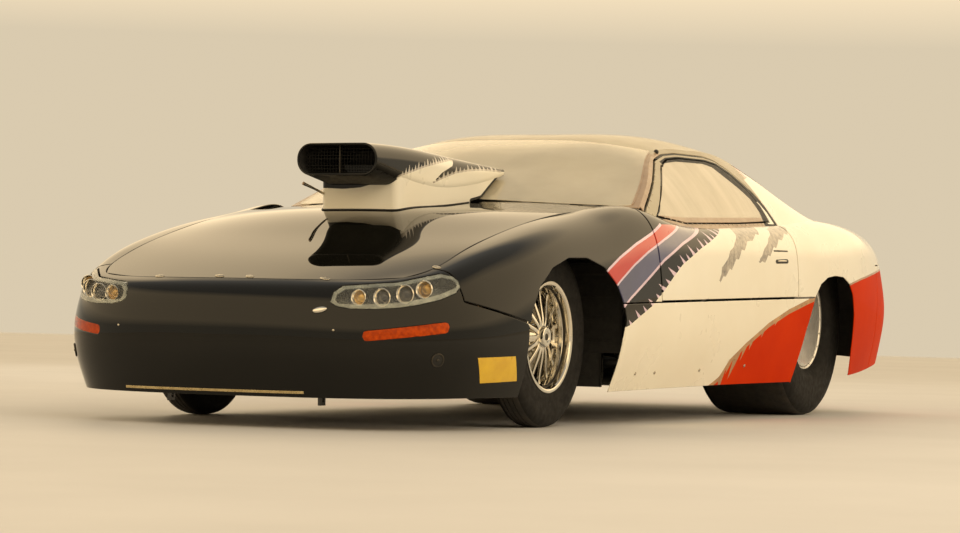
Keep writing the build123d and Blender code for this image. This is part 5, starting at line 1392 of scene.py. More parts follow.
# pieces laid on the panels: blank patch, lip strip, handles
patch = keep_in(sheet(RING, U_ROW[4], U_ROW[7], .4, 1, 9, move=0.7), [(692, 360), (486, 361), (447, 274), (650, 272)], grow=0)
for s, f in (("left", lambda m: m), ("right", mirrored)):
    one(s + "_blank_patch", f(patch), "patch", "chassis", "black_paint", t=0.9, r=0.4)
strip_ = keep_in(sheet(RING, U_ROW[-2], U_ROW[2], .8, 1, 8, move=1.6), [(-412, 235), (304, 235.5), (304, 243), (-412, 242)], "yz")
one("nose_lip_strip", strip_, "brass", "chassis", "bare_aluminium", t=1.8, r=0.8)
slot_ = keep_in(sheet(RING, U_ROW[12], U_ROW[14], .1, .7, 7, move=0.9), [(-1922, 697), (-2040, 699), (-2052, 694), (-2052, 686), (-2040, 682), (-1922, 681), (-1914, 689)])
line_ = keep_in(sheet(RING, U_ROW[12], U_ROW[14], .1, .7, 7, move=0.8), [(-1903, 737), (-2054, 735), (-2054, 730), (-1903, 731)])
for s, f in (("left", lambda m: m), ("right", mirrored)):
    one(s + "_handle_slot", f(slot_), "seal", s + "_door", "black_plastic", t=1.2, r=0.6)
    one(s + "_handle_line", f(line_), "steel", s + "_door", "dark_steel", t=1.0, r=0.4)
    hp = Solid()
    sg = 1 if s == "left" else -1
    pts = [on_ring(x, 691.5, "xz", 1) for x in np.linspace(-1934, -2036, 7)]
    hp.tube([(p + n_ * (3.2 if 0 < i < 6 else 1.0)) * (1, sg, 1) for i, (p, n_) in enumerate(pts)], [1.5, 3, 3.4, 3.4, 3.4, 3, 1.5], 10)
    hp.done(s + "_handle_pull", [M["chrome"]], s + "_door", "bare_aluminium", angle=50)


# ---------------- wheels ----------------
def shifted(s, fn):
    s.v = [tuple(fn(p)) for p in s.v]
    return s


def spoke(s, cx, cz, ang, r0, r1, y0, y1, w0, w1, t0, t1, colour=0, n=9):
    """one tapered spoke with a rounded section, turned about the axle"""
    ca, sa = math.cos(ang), math.sin(ang)
    rows = []
    for i in range(n):
        k = i / (n - 1)
        r, y = r0 + (r1 - r0) * k, y0 + (y1 - y0) * (k * k * (3 - 2 * k))
        flare = 1 + 0.9 * max(0, (k - .8) / .2) ** 2 + 0.5 * max(0, (.2 - k) / .2) ** 2
        w, t = (w0 + (w1 - w0) * k) * flare, t0 + (t1 - t0) * k
        row = []
        for j in range(12):
            a = 2 * math.pi * j / 12
            sx = math.copysign(abs(math.cos(a)) ** .6, math.cos(a)) * w / 2
            sy = math.copysign(abs(math.sin(a)) ** .6, math.sin(a)) * t / 2
            row.append((cx + r * ca - sx * sa, y + sy, cz + r * sa + sx * ca))
        rows.append(row)
    s.rings(rows, colour)


def bolts(s, cx, cz, n, r, y0, y1, rad, colour=0, sides=6, phase=0.0):
    for k in range(n):
        a = phase + 2 * math.pi * k / n
        c = (cx + r * math.cos(a), 0, cz + r * math.sin(a))
        s.lathe([(y0, 0), (y0, rad), (y1 - rad * .3, rad), (y1, rad * .7), (y1, 0)], c, sides, colour)


def side_of(profile):
    return profile


def tyre_profile(yc, w, r, seat, shoulder, off, wall, grooves=(), rise=0.0):
    """closed outline of a tyre's section: outside from bead to bead, then back along the inside"""
    h = w / 2
    half_ = [(h - off, seat), (h - off + .5, seat + 9), (h - off * .8, seat + 16), (h - off * .42, seat + 27), (h - off * .12, seat + 44), (h - 1.5, seat + 60), (h, seat + 74)]
    top_ = r - shoulder * 1.9
    half_ += [(h, seat + 74 + (top_ - seat - 74) * .5), (h, top_), (h - shoulder * .12, r - shoulder * 1.25), (h - shoulder * .36, r - shoulder * .62), (h - shoulder * .7, r - shoulder * .2), (h - shoulder * 1.15, r - 1.6)]
    tread_ = []
    e = h - shoulder * 1.15
    ys = np.linspace(e, -e, 31)[1:-1]
    for y in ys:
        tread_.append((y, r - 1.6 * (abs(y) / e) ** 3))
    g = []
    for y, d, gw in grooves:
        g.append((y, d, gw))
    pts = []
    for y, q in tread_:
        if any(abs(y - a) <= c / 2 + 1.5 for a, d, c in g):
            continue
        pts.append((y, q))
    for a, d, c in g:
        q = r - 1.6 * (abs(a) / e) ** 3
        pts += [(a + c / 2, q), (a + c / 2 - .5, q - d), (a - c / 2 + .5, q - d), (a - c / 2, q)]
    pts.sort(key=lambda k: -k[0])
    outer_ = half_ + pts + [(-y, q) for y, q in reversed(half_)]
    inner_ = [(-(h - off - wall), seat), (-(h - off - wall), seat + 18), (-(h - wall), seat + 60), (-(h - wall), r - shoulder * 1.9), (-(h - shoulder * 1.3), r - wall - 3),
              ((h - shoulder * 1.3), r - wall - 3), ((h - wall), r - shoulder * 1.9), ((h - wall), seat + 60), ((h - off - wall), seat + 18), ((h - off - wall), seat)]
    return [(yc + y, q) for y, q in outer_ + inner_], len(half_), len(pts)


def tyre_solid(cx, cz, args, n, lines=()):
    s = Solid()
    prof, nh, nt = tyre_profile(*args)
    s.lathe(prof, (cx, 0, cz), n, 0, closed=True)
    # tread rows get the tread finish
    m = len(prof)
    for i in range(len(s.f)):
        row = i // n
        if nh - 2 <= row <= nh + nt - 1:
            s.c[i] = 1
    return s


# front: narrow ribbed tyre on a polished rim with fifteen spokes
def front_wheel(sg, side):
    body = side + "_front_wheel"
    t = tyre_solid(0, FRONT_Z, (FRONT_Y, FRONT_TYRE_W, FRONT_TYRE_R, FRONT_RIM_R - 11.5, 22, 9, 9, ((0, 5, 4), (18, 5, 4), (-18, 5, 4))), 128)
    # raised rings moulded on the side wall
    for y0, r in ((.4, 262), (.6, 284), (.2, 232)):
        yy = FRONT_Y + FRONT_TYRE_W / 2 - (0.0 if r > 250 else 1.2)
        t.lathe([(yy - 1.2, r - 1.6), (yy - .05, r - .8), (yy - .05, r + .8), (yy - 1.2, r + 1.6)], (0, 0, FRONT_Z), 96, 0, closed=True)
    ob = shifted(t, lambda p: (p[0], sg * p[1], p[2])).done(side + "_front_tyre_rubber", [M["rubber"], M["tread"]], body, "tyre_rubber", angle=38)
    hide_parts(side + "_front_tyre")
    s = Solid()
    R = FRONT_RIM_R
    lip = [(749.8, R - 12), (751, R - 4), (750.6, R), (753.4, R), (754.4, R - 1.5), (754.2, R - 8), (752.6, R - 13.5), (748, R - 17.5), (734, R - 19.5)]
    ring_ = [(733, R - 21.5), (727, R - 22.5), (726, R - 24)]
    band = [(725, R - 23.5), (722, R - 25), (700, R - 27), (690, R - 31.5), (686, R - 33.5)]
    rest = [(652, R - 33), (651, R - 22), (649.8, R - 12), (649.6, R), (653, R), (654, R - 12), (673, R - 12.5), (684, R - 29), (720, R - 20.5), (731, R - 12.5)]
    prof = lip + ring_ + band + rest
    s.lathe(prof, (0, 0, FRONT_Z), 128, 0, closed=True)
    for i in range(len(s.f)):
        row = i // 128
        if 8 <= row <= 11:
            s.c[i] = 1
        elif row > 16:
            s.c[i] = 2
    for k in range(15):
        spoke(s, 0, FRONT_Z, 2 * math.pi * k / 15, 36, R - 30, 722, 702, 16, 10.5, 13, 10)
    # rim-side pads where the spokes land, and the centre
    s.lathe([(694, 0), (694, 64), (697, 66), (703, 65), (712, 58), (719, 50), (724, 44), (726, 40), (738, 37), (742, 35.5), (744, 32), (744, 20), (741, 17), (741, 0)], (0, 0, FRONT_Z), 64, 0)
    bolts(s, 0, FRONT_Z, 5, 50, 708, 727, 8.5, 2)
    bolts(s, 0, FRONT_Z, 15, R - 41, 706, 711, 4.2, 2, 8, math.pi / 15)
    dome(s, np.array([0, 741.0, FRONT_Z]), np.array([0, 1.0, 0]), 13, 3, 1, 20)
    s.tube([(0 + (R - 20) * math.cos(2.0), 734, FRONT_Z + (R - 20) * math.sin(2.0)), ((R - 30) * math.cos(2.0), 746, FRONT_Z + (R - 30) * math.sin(2.0))], 2.4, 8, 2)
    ob = shifted(s, lambda p: (p[0], sg * p[1], p[2])).done(side + "_front_rim_polished", [M["chrome"], M["steel"], M["satin"]], body, "polished_rim", angle=28)
    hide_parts(side + "_front_rim")
    d = Solid()
    d.lathe([(656, 62), (656, 138), (657, 140), (661, 140), (662, 138), (662, 62)], (0, 0, FRONT_Z), 96, 0, closed=True)
    for k in range(30):
        a = 2 * math.pi * k / 30
        r = 82 + 18 * (k % 3)
        d.lathe([(662.2, 0), (662.2, 4.4), (661.4, 4.4), (661.4, 0)], (r * math.cos(a), 0, FRONT_Z + r * math.sin(a)), 8, 1)
    d.lathe([(654, 22), (654, 64), (664, 64), (676, 44), (690, 44), (690, 22)], (0, 0, FRONT_Z), 48, 2, closed=True)
    shifted(d, lambda p: (p[0], sg * p[1], p[2])).done(side + "_front_disc", [M["satin"], M["steel"], M["cast"]], body, "cast_metal", angle=35)
    c = Solid()
    rows = []
    for k in range(9):
        a = math.radians(150 + 60 * k / 8)
        ca, sa = math.cos(a), math.sin(a)
        rows.append([(r * ca, y, FRONT_Z + r * sa) for y, r in ((645, 104), (645, 154), (650, 158), (668, 158), (673, 154), (673, 106), (665.5, 104), (665.5, 145), (652.5, 145), (652.5, 102))])
    c.rings(rows, 0)
    for k in (160, 200):
        a = math.radians(k)
        c.lathe([(673, 0), (673, 16), (675, 17), (677, 14), (677, 0)], (128 * math.cos(a), 0, FRONT_Z + 128 * math.sin(a)), 20, 1)
    c.tube([(-118, 642, FRONT_Z + 10), (-86, 640, FRONT_Z + 6), (-60, 637, FRONT_Z)], 9, 10, 0)
    shifted(c, lambda p: (p[0], sg * p[1], p[2])).done(side + "_front_caliper", [M["cast"], M["satin"]], side + "_knuckle", "cast_metal", angle=35, bevel=1.2)


front_wheel(1, "left")
front_wheel(-1, "right")

# rear: wide smooth tyres on deep polished rims
AXLE_X = -WHEELBASE
t2, s2, b2 = Solid(), Solid(), Solid()
for sg in (1, -1):
    t = tyre_solid(AXLE_X, REAR_Z, (REAR_Y, REAR_TYRE_W, REAR_TYRE_R, REAR_RIM_R - 11.5, 34, 39, 10), 160)
    for r in (300, 322, 352):
        yy = REAR_Y + REAR_TYRE_W / 2
        t.lathe([(yy - 1.4, r - 2), (yy - .05, r - 1), (yy - .05, r + 1), (yy - 1.4, r + 2)], (AXLE_X, 0, REAR_Z), 120, 0, closed=True)
    shifted(t, lambda p: (p[0], sg * p[1], p[2]))
    t2.add(t.v, t.f)
    t2.c[-len(t.c):] = t.c
    s = Solid()
    R = REAR_RIM_R
    lip = [(782.5, R - 12), (784, R - 4), (783.6, R), (786.8, R), (787.9, R - 2), (787.6, R - 7), (784.5, R - 12.5), (777, R - 17), (752, R - 19.5)]
    ring_ = [(750.5, R - 22), (741, R - 23), (739.5, R - 25)]
    band = [(738, R - 24.5), (733, R - 26), (700, R - 33), (664, R - 38), (646, R - 41), (640, R - 44)]
    dish = [(630, R - 52), (614, 146), (603, 128), (597, 110), (595, 96), (599, 84), (607, 74), (613, 66), (615, 58), (615, 0)]
    s.lathe(lip + ring_ + band + dish + [(603, 0), (603, 58), (590, 78), (583, 96), (588, 128), (604, 152), (626, R - 38), (640, R - 36.5), (664, R - 35), (715, R - 27), (733, R - 20), (752, R - 13)], (AXLE_X, 0, REAR_Z), 128, 0)
    s.lathe([(432, R - 12), (430.4, R - 4), (430.4, R), (434, R), (435, R - 12), (454, R - 12.5), (466, R - 34), (646, R - 35.5), (646, R - 38), (468, R - 38), (456, R - 19), (434, R - 18)], (AXLE_X, 0, REAR_Z), 96, 2, closed=True)
    for i in range(34 * 128):
        row = i // 128
        if i < len(s.c) and 8 <= row <= 11:
            s.c[i] = 1
    bolts(s, AXLE_X, REAR_Z, 20, R - 10.5, 783, 787.7, 4.0, 2, 6)
    bolts(s, AXLE_X, REAR_Z, 16, R - 52, 626, 634.5, 4.6, 2, 8)
    bolts(s, AXLE_X, REAR_Z, 5, 57, 612, 634, 10, 2)
    s.lathe([(612, 0), (612, 38), (616, 40), (632, 39), (637, 36), (639, 30), (640, 14), (640, 0)], (AXLE_X, 0, REAR_Z), 48, 0)
    for k in range(5):
        a = 2 * math.pi * k / 5 + math.pi / 5
        s.lathe([(606, 0), (606, 15), (603, 16), (600, 14), (600, 0)], (AXLE_X + 104 * math.cos(a), 0, REAR_Z + 104 * math.sin(a)), 24, 1)
    shifted(s, lambda p: (p[0], sg * p[1], p[2]))
    s2.add(s.v, s.f)
    s2.c[-len(s.c):] = s.c
ob = t2.done("rear_tyres_rubber", [M["rubber"], M["tread"]], "rear_wheels", "tyre_rubber", angle=38)
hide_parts("rear_tyres")
ob = s2.done("rear_rims_polished", [M["rim"], M["satin"], M["satin"]], "rear_wheels", "polished_rim", angle=28)
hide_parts("rear_rims")


# ---------------- cabin ----------------
SEAT_Y = 402.0


def pillow(name, loops, mat, body, slot_, cap=0.014, voxel=0.008, seams=(), smooth_=2):
    """padded piece: a closed form from loops of points, blown up by cloth pressure, capped, then sewn"""
    s = Solid()
    s.rings(loops, 0)
    ob = s.done(name, [mat], body, slot_, angle=180)
    me = ob.data
    md = ob.modifiers.new("remesh", "REMESH")
    md.mode, md.voxel_size, md.use_smooth_shade = "VOXEL", voxel, True
    dg = bpy.context.evaluated_depsgraph_get()
    new = bpy.data.meshes.new_from_object(ob.evaluated_get(dg))
    ob.modifiers.clear()
    ob.data = new
    new.materials.clear()
    new.materials.append(mat)
    n = len(new.vertices)
    start = np.empty(n * 3)
    new.vertices.foreach_get("co", start)
    start = start.reshape(-1, 3)
    cl = ob.modifiers.new("cloth", "CLOTH")
    cl.settings.use_pressure = True
    cl.settings.uniform_pressure_force = 4.0
    cl.settings.effector_weights.gravity = 0
    cl.settings.quality = 4
    cl.settings.tension_stiffness = 12
    cl.collision_settings.use_collision = False
    sc_ = bpy.context.scene
    for fr_ in range(1, 15):
        sc_.frame_set(fr_)
    dg = bpy.context.evaluated_depsgraph_get()
    ev = ob.evaluated_get(dg)
    got = np.empty(n * 3)
    if len(ev.data.vertices) == n:
        ev.data.vertices.foreach_get("co", got)
        got = got.reshape(-1, 3)
        d = got - start
        ln = np.linalg.norm(d, axis=1, keepdims=True)
        start = start + d * np.minimum(1, cap / np.maximum(ln, 1e-9))
    ob.modifiers.clear()
    sc_.frame_set(1)
    new.vertices.foreach_set("co", start.ravel())
    new.update()
    bm = bmesh.new()
    bm.from_mesh(new)
    for _ in range(smooth_):
        bmesh.ops.smooth_vert(bm, verts=bm.verts, factor=0.5, use_axis_x=True, use_axis_y=True, use_axis_z=True)
    bm.normal_update()
    # sewn channels: pressed in along lines given as planes, with a soft shoulder
    for v in bm.verts:
        push = 0.0
        for fn, depth, wide in seams:
            push = max(push, depth * math.exp(-(fn(v.co) / wide) ** 2))
        v.co -= v.normal * push
    bm.to_mesh(new)
    bm.free()
    new.polygons.foreach_set("use_smooth", np.ones(len(new.polygons), bool))
    sub = ob.modifiers.new("soft", "SUBSURF")
    sub.levels = sub.render_levels = 1
    return ob


def squircle(c, a, b, ra, rb, power=.45, n=44):
    """closed loop about c in the plane of a and b"""
    c, a, b = (np.array(k, float) for k in (c, a, b))
    out = []
    for k in range(n):
        t = 2 * math.pi * k / n
        x = math.copysign(abs(math.cos(t)) ** power, math.cos(t)) * ra
        y = math.copysign(abs(math.sin(t)) ** power, math.sin(t)) * rb
        out.append(c + a * x + b * y)
    return out


def level_y(co):
    return co[1] * 1000 - SEAT_Y


# seat cushion: loops stacked from below, in the hollow of the shell
loops = []
for z, ra, rb in ((366, 150, 130), (369, 186, 164), (378, 200, 176), (396, 202, 178), (412, 196, 172), (420, 176, 152), (423, 120, 100)):
    loops.append(squircle((-1508 - (z - 366) * .1, SEAT_Y, z), (1, 0, 0), (0, 1, 0), ra, rb))
pillow("seat_cushion", loops, M["cloth"], "chassis", "seat_fabric",
       seams=[(lambda co, o=o: level_y(co) - o, .0045, 5.0) for o in (-104, -52, 0, 52, 104)])
back_d = unit(np.array([-140.0, 0, 600.0]))
back_n = np.array([back_d[2], 0, -back_d[0]])
loops = []
for q, ra, rb in ((0, 196, 112), (4, 232, 144), (14, 246, 156), (30, 248, 158), (44, 236, 148), (51, 206, 122), (53, 140, 70)):
    loops.append(squircle(np.array([-1790, SEAT_Y, 648.0]) + back_n * (q + 6), back_d, (0, 1, 0), ra, rb))
pillow("seat_back_cushion", loops, M["cloth"], "chassis", "seat_fabric",
       seams=[(lambda co, o=o: level_y(co) - o, .0045, 5.0) for o in (-96, -48, 0, 48, 96)])
loops = []
for q, ra, rb in ((0, 52, 84), (4, 68, 102), (12, 74, 108), (26, 74, 108), (38, 62, 96), (43, 40, 70)):
    loops.append(squircle(np.array([-1862, SEAT_Y, 958.0]) - np.array([0, 0, 36.0]) + back_n * (q + 14), back_d, (0, 1, 0), ra, rb))
pillow("seat_head_pad", loops, M["cloth"], "chassis", "seat_fabric", cap=.008)

# shell of the seat with rolled bolsters, over the CAD shell's outline
sh = Solid()
rows = []
for z, xc in ((330, -1720), (380, -1738), (440, -1750), (520, -1768), (600, -1786), (700, -1808), (800, -1830), (880, -1848), (940, -1862)):
    w = float(np.interp(z, [330, 400, 600, 760, 860, 940], [226, 234, 234, 214, 168, 118]))
    d = float(np.interp(z, [330, 420, 560, 700, 800, 940], [118, 124, 96, 74, 58, 40]))
    prof = []
    for t in np.linspace(-1, 1, 29):
        y = w * math.sin(t * math.pi / 2) ** 1 if abs(t) < 1 else math.copysign(w, t)
        x = d * max(0, abs(t) - .55) ** 1.3 / .45 ** 1.3
        prof.append((xc + x, SEAT_Y + y, z))
    back_ = [(x - 9, SEAT_Y + (y - SEAT_Y) * 1.035, z) for x, y, z in reversed(prof)]
    rows.append(prof + back_)
sh.rings(rows, 0)
rows = []
for x, zb, w in ((-1752, 322, 214), (-1690, 312, 226), (-1600, 306, 232), (-1500, 306, 232), (-1400, 310, 228), (-1320, 318, 214), (-1296, 330, 196)):
    hgt = float(np.interp(-x, [1296, 1400, 1600, 1752], [62, 96, 118, 124]))
    prof = []
    for t in np.linspace(-1, 1, 29):
        y = w * math.sin(t * math.pi / 2)
        z = zb + hgt * max(0, abs(t) - .6) ** 1.5 / .4 ** 1.5
        prof.append((x, SEAT_Y + y, z))
    low_ = [(x, SEAT_Y + (y - SEAT_Y) * 1.03, z - 8) for x, y, z in reversed(prof)]
    rows.append(prof + low_)
sh.rings(rows, 0)
for y in (-175, 175):
    sh.block((-1740, SEAT_Y + y - 14, 222), (-1330, SEAT_Y + y + 14, 226), 1)
    sh.block((-1740, SEAT_Y + y - 2, 222), (-1330, SEAT_Y + y + 2, 306), 1)
    for x in (-1700, -1535, -1370):
        sh.lathe([(0, 0), (0, 9), (3, 9), (5, 6), (5, 0)], (x, SEAT_Y + y + (9 if y < 0 else -9), 226), 12, 2, "z")
ob = sh.done("seat_shell", [M["plastic"], M["alu"], M["screw"]], "chassis", "black_plastic", angle=40, bevel=2.0)
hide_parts("driver_seat")


# ---------------- belts ----------------
def web(name, pts, wide, mat, body, slot_, normals=None, thick=2.4, samples=40):
    """flat strap along a smooth line of points"""
    P = np.array(pts, float)
    t = np.concatenate([[0], np.cumsum(np.linalg.norm(np.diff(P, axis=0), axis=1))])
    u = np.linspace(0, t[-1], samples)
    Q = spline_weights(t / t[-1], u / t[-1]) @ P
    s = Solid()
    rows = []
    for i, q in enumerate(Q):
        d = unit(Q[min(i + 1, samples - 1)] - Q[max(i - 1, 0)])
        side_ = unit(np.array(normals if normals is not None else (0, 1, 0), float))
        side_ = unit(side_ - d * (d @ side_))
        n_ = np.cross(d, side_)
        w = wide / 2
        rows.append([q + side_ * a * w + n_ * b * thick / 2 for a, b in ((-1, -.3), (-.96, -1), (0, -1), (.96, -1), (1, -.3), (1, .3), (.96, 1), (0, 1), (-.96, 1), (-1, .3))])
    s.rings(rows, 0)
    return s


BELTS = {
    "belt_shoulder_left": ([(-1860, 470, 770), (-1800, 466, 792), (-1752, 462, 760), (-1700, 455, 640), (-1650, 440, 520), (-1610, 420, 462)], (0, 1, .1)),
    "belt_shoulder_right": ([(-1860, 334, 770), (-1800, 338, 792), (-1752, 342, 760), (-1700, 349, 640), (-1650, 364, 520), (-1610, 384, 462)], (0, 1, -.1)),
    "belt_lap_left": ([(-1680, 590, 420), (-1650, 560, 448), (-1600, 500, 458), (-1585, 440, 456)], (-1, .2, .9)),
    "belt_lap_right": ([(-1680, 214, 420), (-1650, 244, 448), (-1600, 304, 458), (-1585, 364, 456)], (-1, -.2, .9)),
}
for name, (pts, nrm) in BELTS.items():
    web(name, pts, 48, M["belt"], "chassis", "seat_fabric", nrm).done(name, [M["belt"]], "chassis", "seat_fabric", angle=50)
bk = Solid()
bk.lathe([(0, 0), (0, 34), (4, 36), (11, 34), (15, 26), (16, 12), (14, 8), (14, 0)], (-1598, SEAT_Y, 452), 40, 0, "z")
for a in range(4):
    t = math.radians(45 + 90 * a)
    bk.block((-1598 + 30 * math.cos(t) - 8, SEAT_Y + 30 * math.sin(t) - 8, 454), (-1598 + 30 * math.cos(t) + 8, SEAT_Y + 30 * math.sin(t) + 8, 464), 1)
bk.done("belt_buckle", [M["satin"], M["steel"]], "chassis", "bare_aluminium", angle=35, bevel=1.0)

# ---------------- steering wheel, column and instruments ----------------
COL_A, COL_B = np.array([-700, SEAT_Y, 610.0]), np.array([-1155, SEAT_Y, 760.0])
cd = unit(COL_B - COL_A)
wc = COL_B + cd * 40
wa = np.array([0, 1.0, 0])
wb = np.cross(cd, wa)
s = Solid()
rows = []
for k in range(96):
    t = 2 * math.pi * k / 96
    rad_ = wa * math.cos(t) + wb * math.sin(t)
    flat = 1.0 - 0.0 * max(0, -math.sin(t))
    c0 = wc + rad_ * 158 * flat
    rr_ = 12.2 + 0.6 * math.cos(12 * t)
    rows.append([c0 + rad_ * rr_ * math.cos(q) + cd * rr_ * math.sin(q) * 1.02 for q in [2 * math.pi * j / 14 for j in range(14)]])
s.rings(rows, 0, loop=True)
for ang in (90, 210, 330):
    t = math.radians(ang)
    rad_ = wa * math.cos(t) + wb * math.sin(t)
    tan_ = np.cross(cd, rad_)
    rws = []
    for q, w_, d_ in ((26, 22, -8), (50, 17, -7), (80, 13, -5), (115, 11, -3), (140, 13, -1), (150, 17, 0)):
        c0 = wc + rad_ * q + cd * d_
        rws.append([c0 + tan_ * w_ + cd * 1.6, c0 + tan_ * (w_ - 1.5) + cd * 2.6, c0 - tan_ * (w_ - 1.5) + cd * 2.6, c0 - tan_ * w_ + cd * 1.6,
                    c0 - tan_ * w_ - cd * 1.6, c0 - tan_ * (w_ - 1.5) - cd * 2.6, c0 + tan_ * (w_ - 1.5) - cd * 2.6, c0 + tan_ * w_ - cd * 1.6])
    s.rings(rws, 1)
    for q in (70, 92, 114):
        dome(s, wc + rad_ * q + cd * (-5 + 2.6 + (q - 70) * .05), cd, 4.2, .6, 2, 10)
for prof_r, off in (((34, 33, 28), (-22, -2, 3)),):
    rws = []
    for r_, o_ in ((20, -24), (33, -23), (34, -20), (34, -4), (31, 0), (24, 3), (14, 4), (4, 4.4)):
        rws.append([wc + cd * o_ + (wa * math.cos(q) + wb * math.sin(q)) * r_ for q in [2 * math.pi * j / 32 for j in range(32)]])
    s.rings(rws, 1)
for j in range(6):
    q = 2 * math.pi * j / 6 + .3
    dome(s, wc + cd * 2.2 + (wa * math.cos(q) + wb * math.sin(q)) * 25, cd, 3.4, 2.0, 2, 10)
ob = s.done("steering_wheel_rim", [M["cloth"], M["satin"], M["screw"]], "steering_wheel", "black_plastic", angle=40)
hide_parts("steering_wheel")

# dash: three round dials with marks and needles on the face, and a row of switches
dl = Solid()
fx, fz = -1018.0, 818.0
dn = unit(np.array([-60.0, 0, 10.0]))
up_ = np.cross(dn, (0, 1.0, 0))
if up_[2] < 0:
    up_ = -up_
for yy, r_ in ((402, 44), (302, 29), (502, 29), (236, 29)):
    c0 = np.array([fx, yy, fz])
    for r0, o_, col in ((r_, 0, 0),):
        rws = []
        for q_, o2 in ((r_ * .97, -2), (r_ + 1, -2), (r_ + 3, 2), (r_ + 2.4, 7), (r_, 9), (r_ - 2.4, 7.5), (r_ - 3, 3), (0.5, 3)):
            rws.append([c0 + dn * o2 + (up_ * math.cos(q) + np.array([0, 1.0, 0]) * math.sin(q)) * q_ for q in [2 * math.pi * j / 40 for j in range(40)]])
        dl.rings(rws, 0)
    face = [[c0 + dn * o2 + (up_ * math.cos(q) + np.array([0, 1.0, 0]) * math.sin(q)) * q_ for q in [2 * math.pi * j / 40 for j in range(40)]] for q_, o2 in ((r_ - 3.2, 3.0), (r_ - 3.2, 3.6), (1.0, 3.8))]
    dl.rings(face, 1)
    for j in range(11):
        q = math.radians(-135 + 27 * j)
        e_ = up_ * math.cos(q) + np.array([0, 1.0, 0]) * math.sin(q)
        dl.tube([c0 + dn * 4.2 + e_ * (r_ - 10), c0 + dn * 4.2 + e_ * (r_ - 5)], .7, 6, 2)
    e_ = up_ * math.cos(-1.7) + np.array([0, 1.0, 0]) * math.sin(-1.7)
    dl.tube([c0 + dn * 5 - e_ * 5, c0 + dn * 5 + e_ * (r_ - 9)], [1.4, .5], 6, 3)
    dome(dl, c0 + dn * 4.4, dn, 3.5, 2.4, 0, 12)
for k in range(6):
    c0 = np.array([fx - 1, 560 + k * 13 - 20, 808.0]) if False else np.array([fx, 150 - k * 26.0, 812.0])
    dome(dl, c0, dn, 8, 2.5, 0, 14)
    dl.tube([c0 + dn * 1, c0 + dn * 16 + up_ * (5 if k % 2 else -5)], [2.2, 3.0], 8, 0)
dl.done("dash_dials", [M["satin"], M["dial"], M["screw"], M["belt"]], "chassis", "black_plastic", angle=35)
# shift lever and its box beside the seat
sl = Solid()
sl.block((-1420, 165, 222), (-1230, 205, 330), 0)
sl.tube([(-1330, 185, 326), (-1336, 186, 420), (-1360, 190, 520)], 6, 12, 1)
dome(sl, np.array([-1361, 190, 520.0]), unit(np.array([-.2, 0, 1.0])), 17, 26, 2, 20)
sl.done("shift_lever", [M["plastic"], M["chrome"], M["plastic"]], "chassis", "black_plastic", angle=40, bevel=3)
# pedals
pd = Solid()
for yy in (350, 430):
    pd.tube([(-705, yy, 560), (-745, yy, 440), (-770, yy, 340)], 6, 10, 0)
    pd.block((-780, yy - 26, 290), (-770, yy + 26, 366), 1)
    for z in (302, 316, 330, 344):
        pd.block((-783, yy - 22, z), (-779, yy + 22, z + 5), 0)
pd.done("pedals", [M["steel"], M["satin"]], "chassis", "dark_steel", angle=35, bevel=1.0)
# ribbed splash panels that close the footwell behind the front wheels
kp = Solid()
for sg in (1, -1):
    for w_, z0, z1 in ((690, 210, 340), (775, 340, 680)):
        ya, yb = sorted((sg * 430, sg * w_))
        kp.block((-604, ya, z0), (-600.5, yb, z1), 0)
        for z in np.arange(z0 + 40, z1 - 20, 85):
            kp.block((-600.5, ya + 34, z), (-597.5, yb - 34, z + 9), 0)
        ye = sg * w_
        kp.block((-607, min(ye, ye + sg * 8), z0), (-597, max(ye, ye + sg * 8), z1), 1)
kp.done("splash_panels", [M["inner"], M["seal"]], "chassis", "black_plastic", angle=35, bevel=1.0)
# springs round the front struts
for sg in (1, -1):
    sp = Solid()
    a_, b_ = np.array([-3, 611.0, 530]), np.array([-25, 601.0, 700])
    d = unit(b_ - a_)
    e1, e2 = basis(d)
    turns, n_ = 7.5, 150
    pts = [a_ + (b_ - a_) * k / n_ + (e1 * math.cos(2 * math.pi * turns * k / n_) + e2 * math.sin(2 * math.pi * turns * k / n_)) * 26.5 for k in range(n_ + 1)]
    sp.tube([p * (1, sg, 1) for p in pts], 3.8, 8, 0)
    for c0 in (a_ - d * 6, b_ + d * 6):
        rws = [[(c0 + d * o_ + (e1 * math.cos(q) + e2 * math.sin(q)) * r_) * (1, sg, 1) for q in [2 * math.pi * j / 28 for j in range(28)]] for r_, o_ in ((19, -3), (31, -3), (32, 0), (31, 3), (19, 3))]
        sp.rings(rws, 1)
    sp.done(("left" if sg > 0 else "right") + "_strut_spring", [M["steel"], M["satin"]], "chassis", "dark_steel", angle=45)


# ---------------- finishes of the parts that keep their own shape ----------------
KEEP = {
    "tube_chassis": "chassis", "frame_rails": "chassis", "roll_cage": "chassis", "floor_pan": "alu", "firewall": "alu", "wheel_tubs": "inner", "engine": "cast", "gearbox": "cast", "radiator": "satin",
    "driveshaft": "steel", "exhaust": "header", "rear_axle_housing": "steel", "rear_links": "steel", "wheelie_bar": "chassis", "dashboard": "plastic",
    "steering_column": "steel", "steering_wheel": "plastic", "front_suspension": "steel", "steering_rack": "steel", "left_knuckle": "steel", "right_knuckle": "steel",
    "driver_seat": "plastic", "head_lamps": "bowl", "turn_lamps": "amber", "tail_lamps": "redlens", "hood_scoop": "black",
    "left_front_tyre": "rubber", "right_front_tyre": "rubber", "rear_tyres": "rubber", "left_front_rim": "chrome", "right_front_rim": "chrome", "rear_rims": "chrome",
}
for ob in list(bpy.context.scene.objects):
    for node, mat in KEEP.items():
        if ob.type == "MESH" and ob.name == node:
            ob.data.materials.clear() if not ob.material_slots else None
            if not ob.material_slots:
                ob.data.materials.append(M[mat])
            for s in ob.material_slots:
                s.material = M[mat]

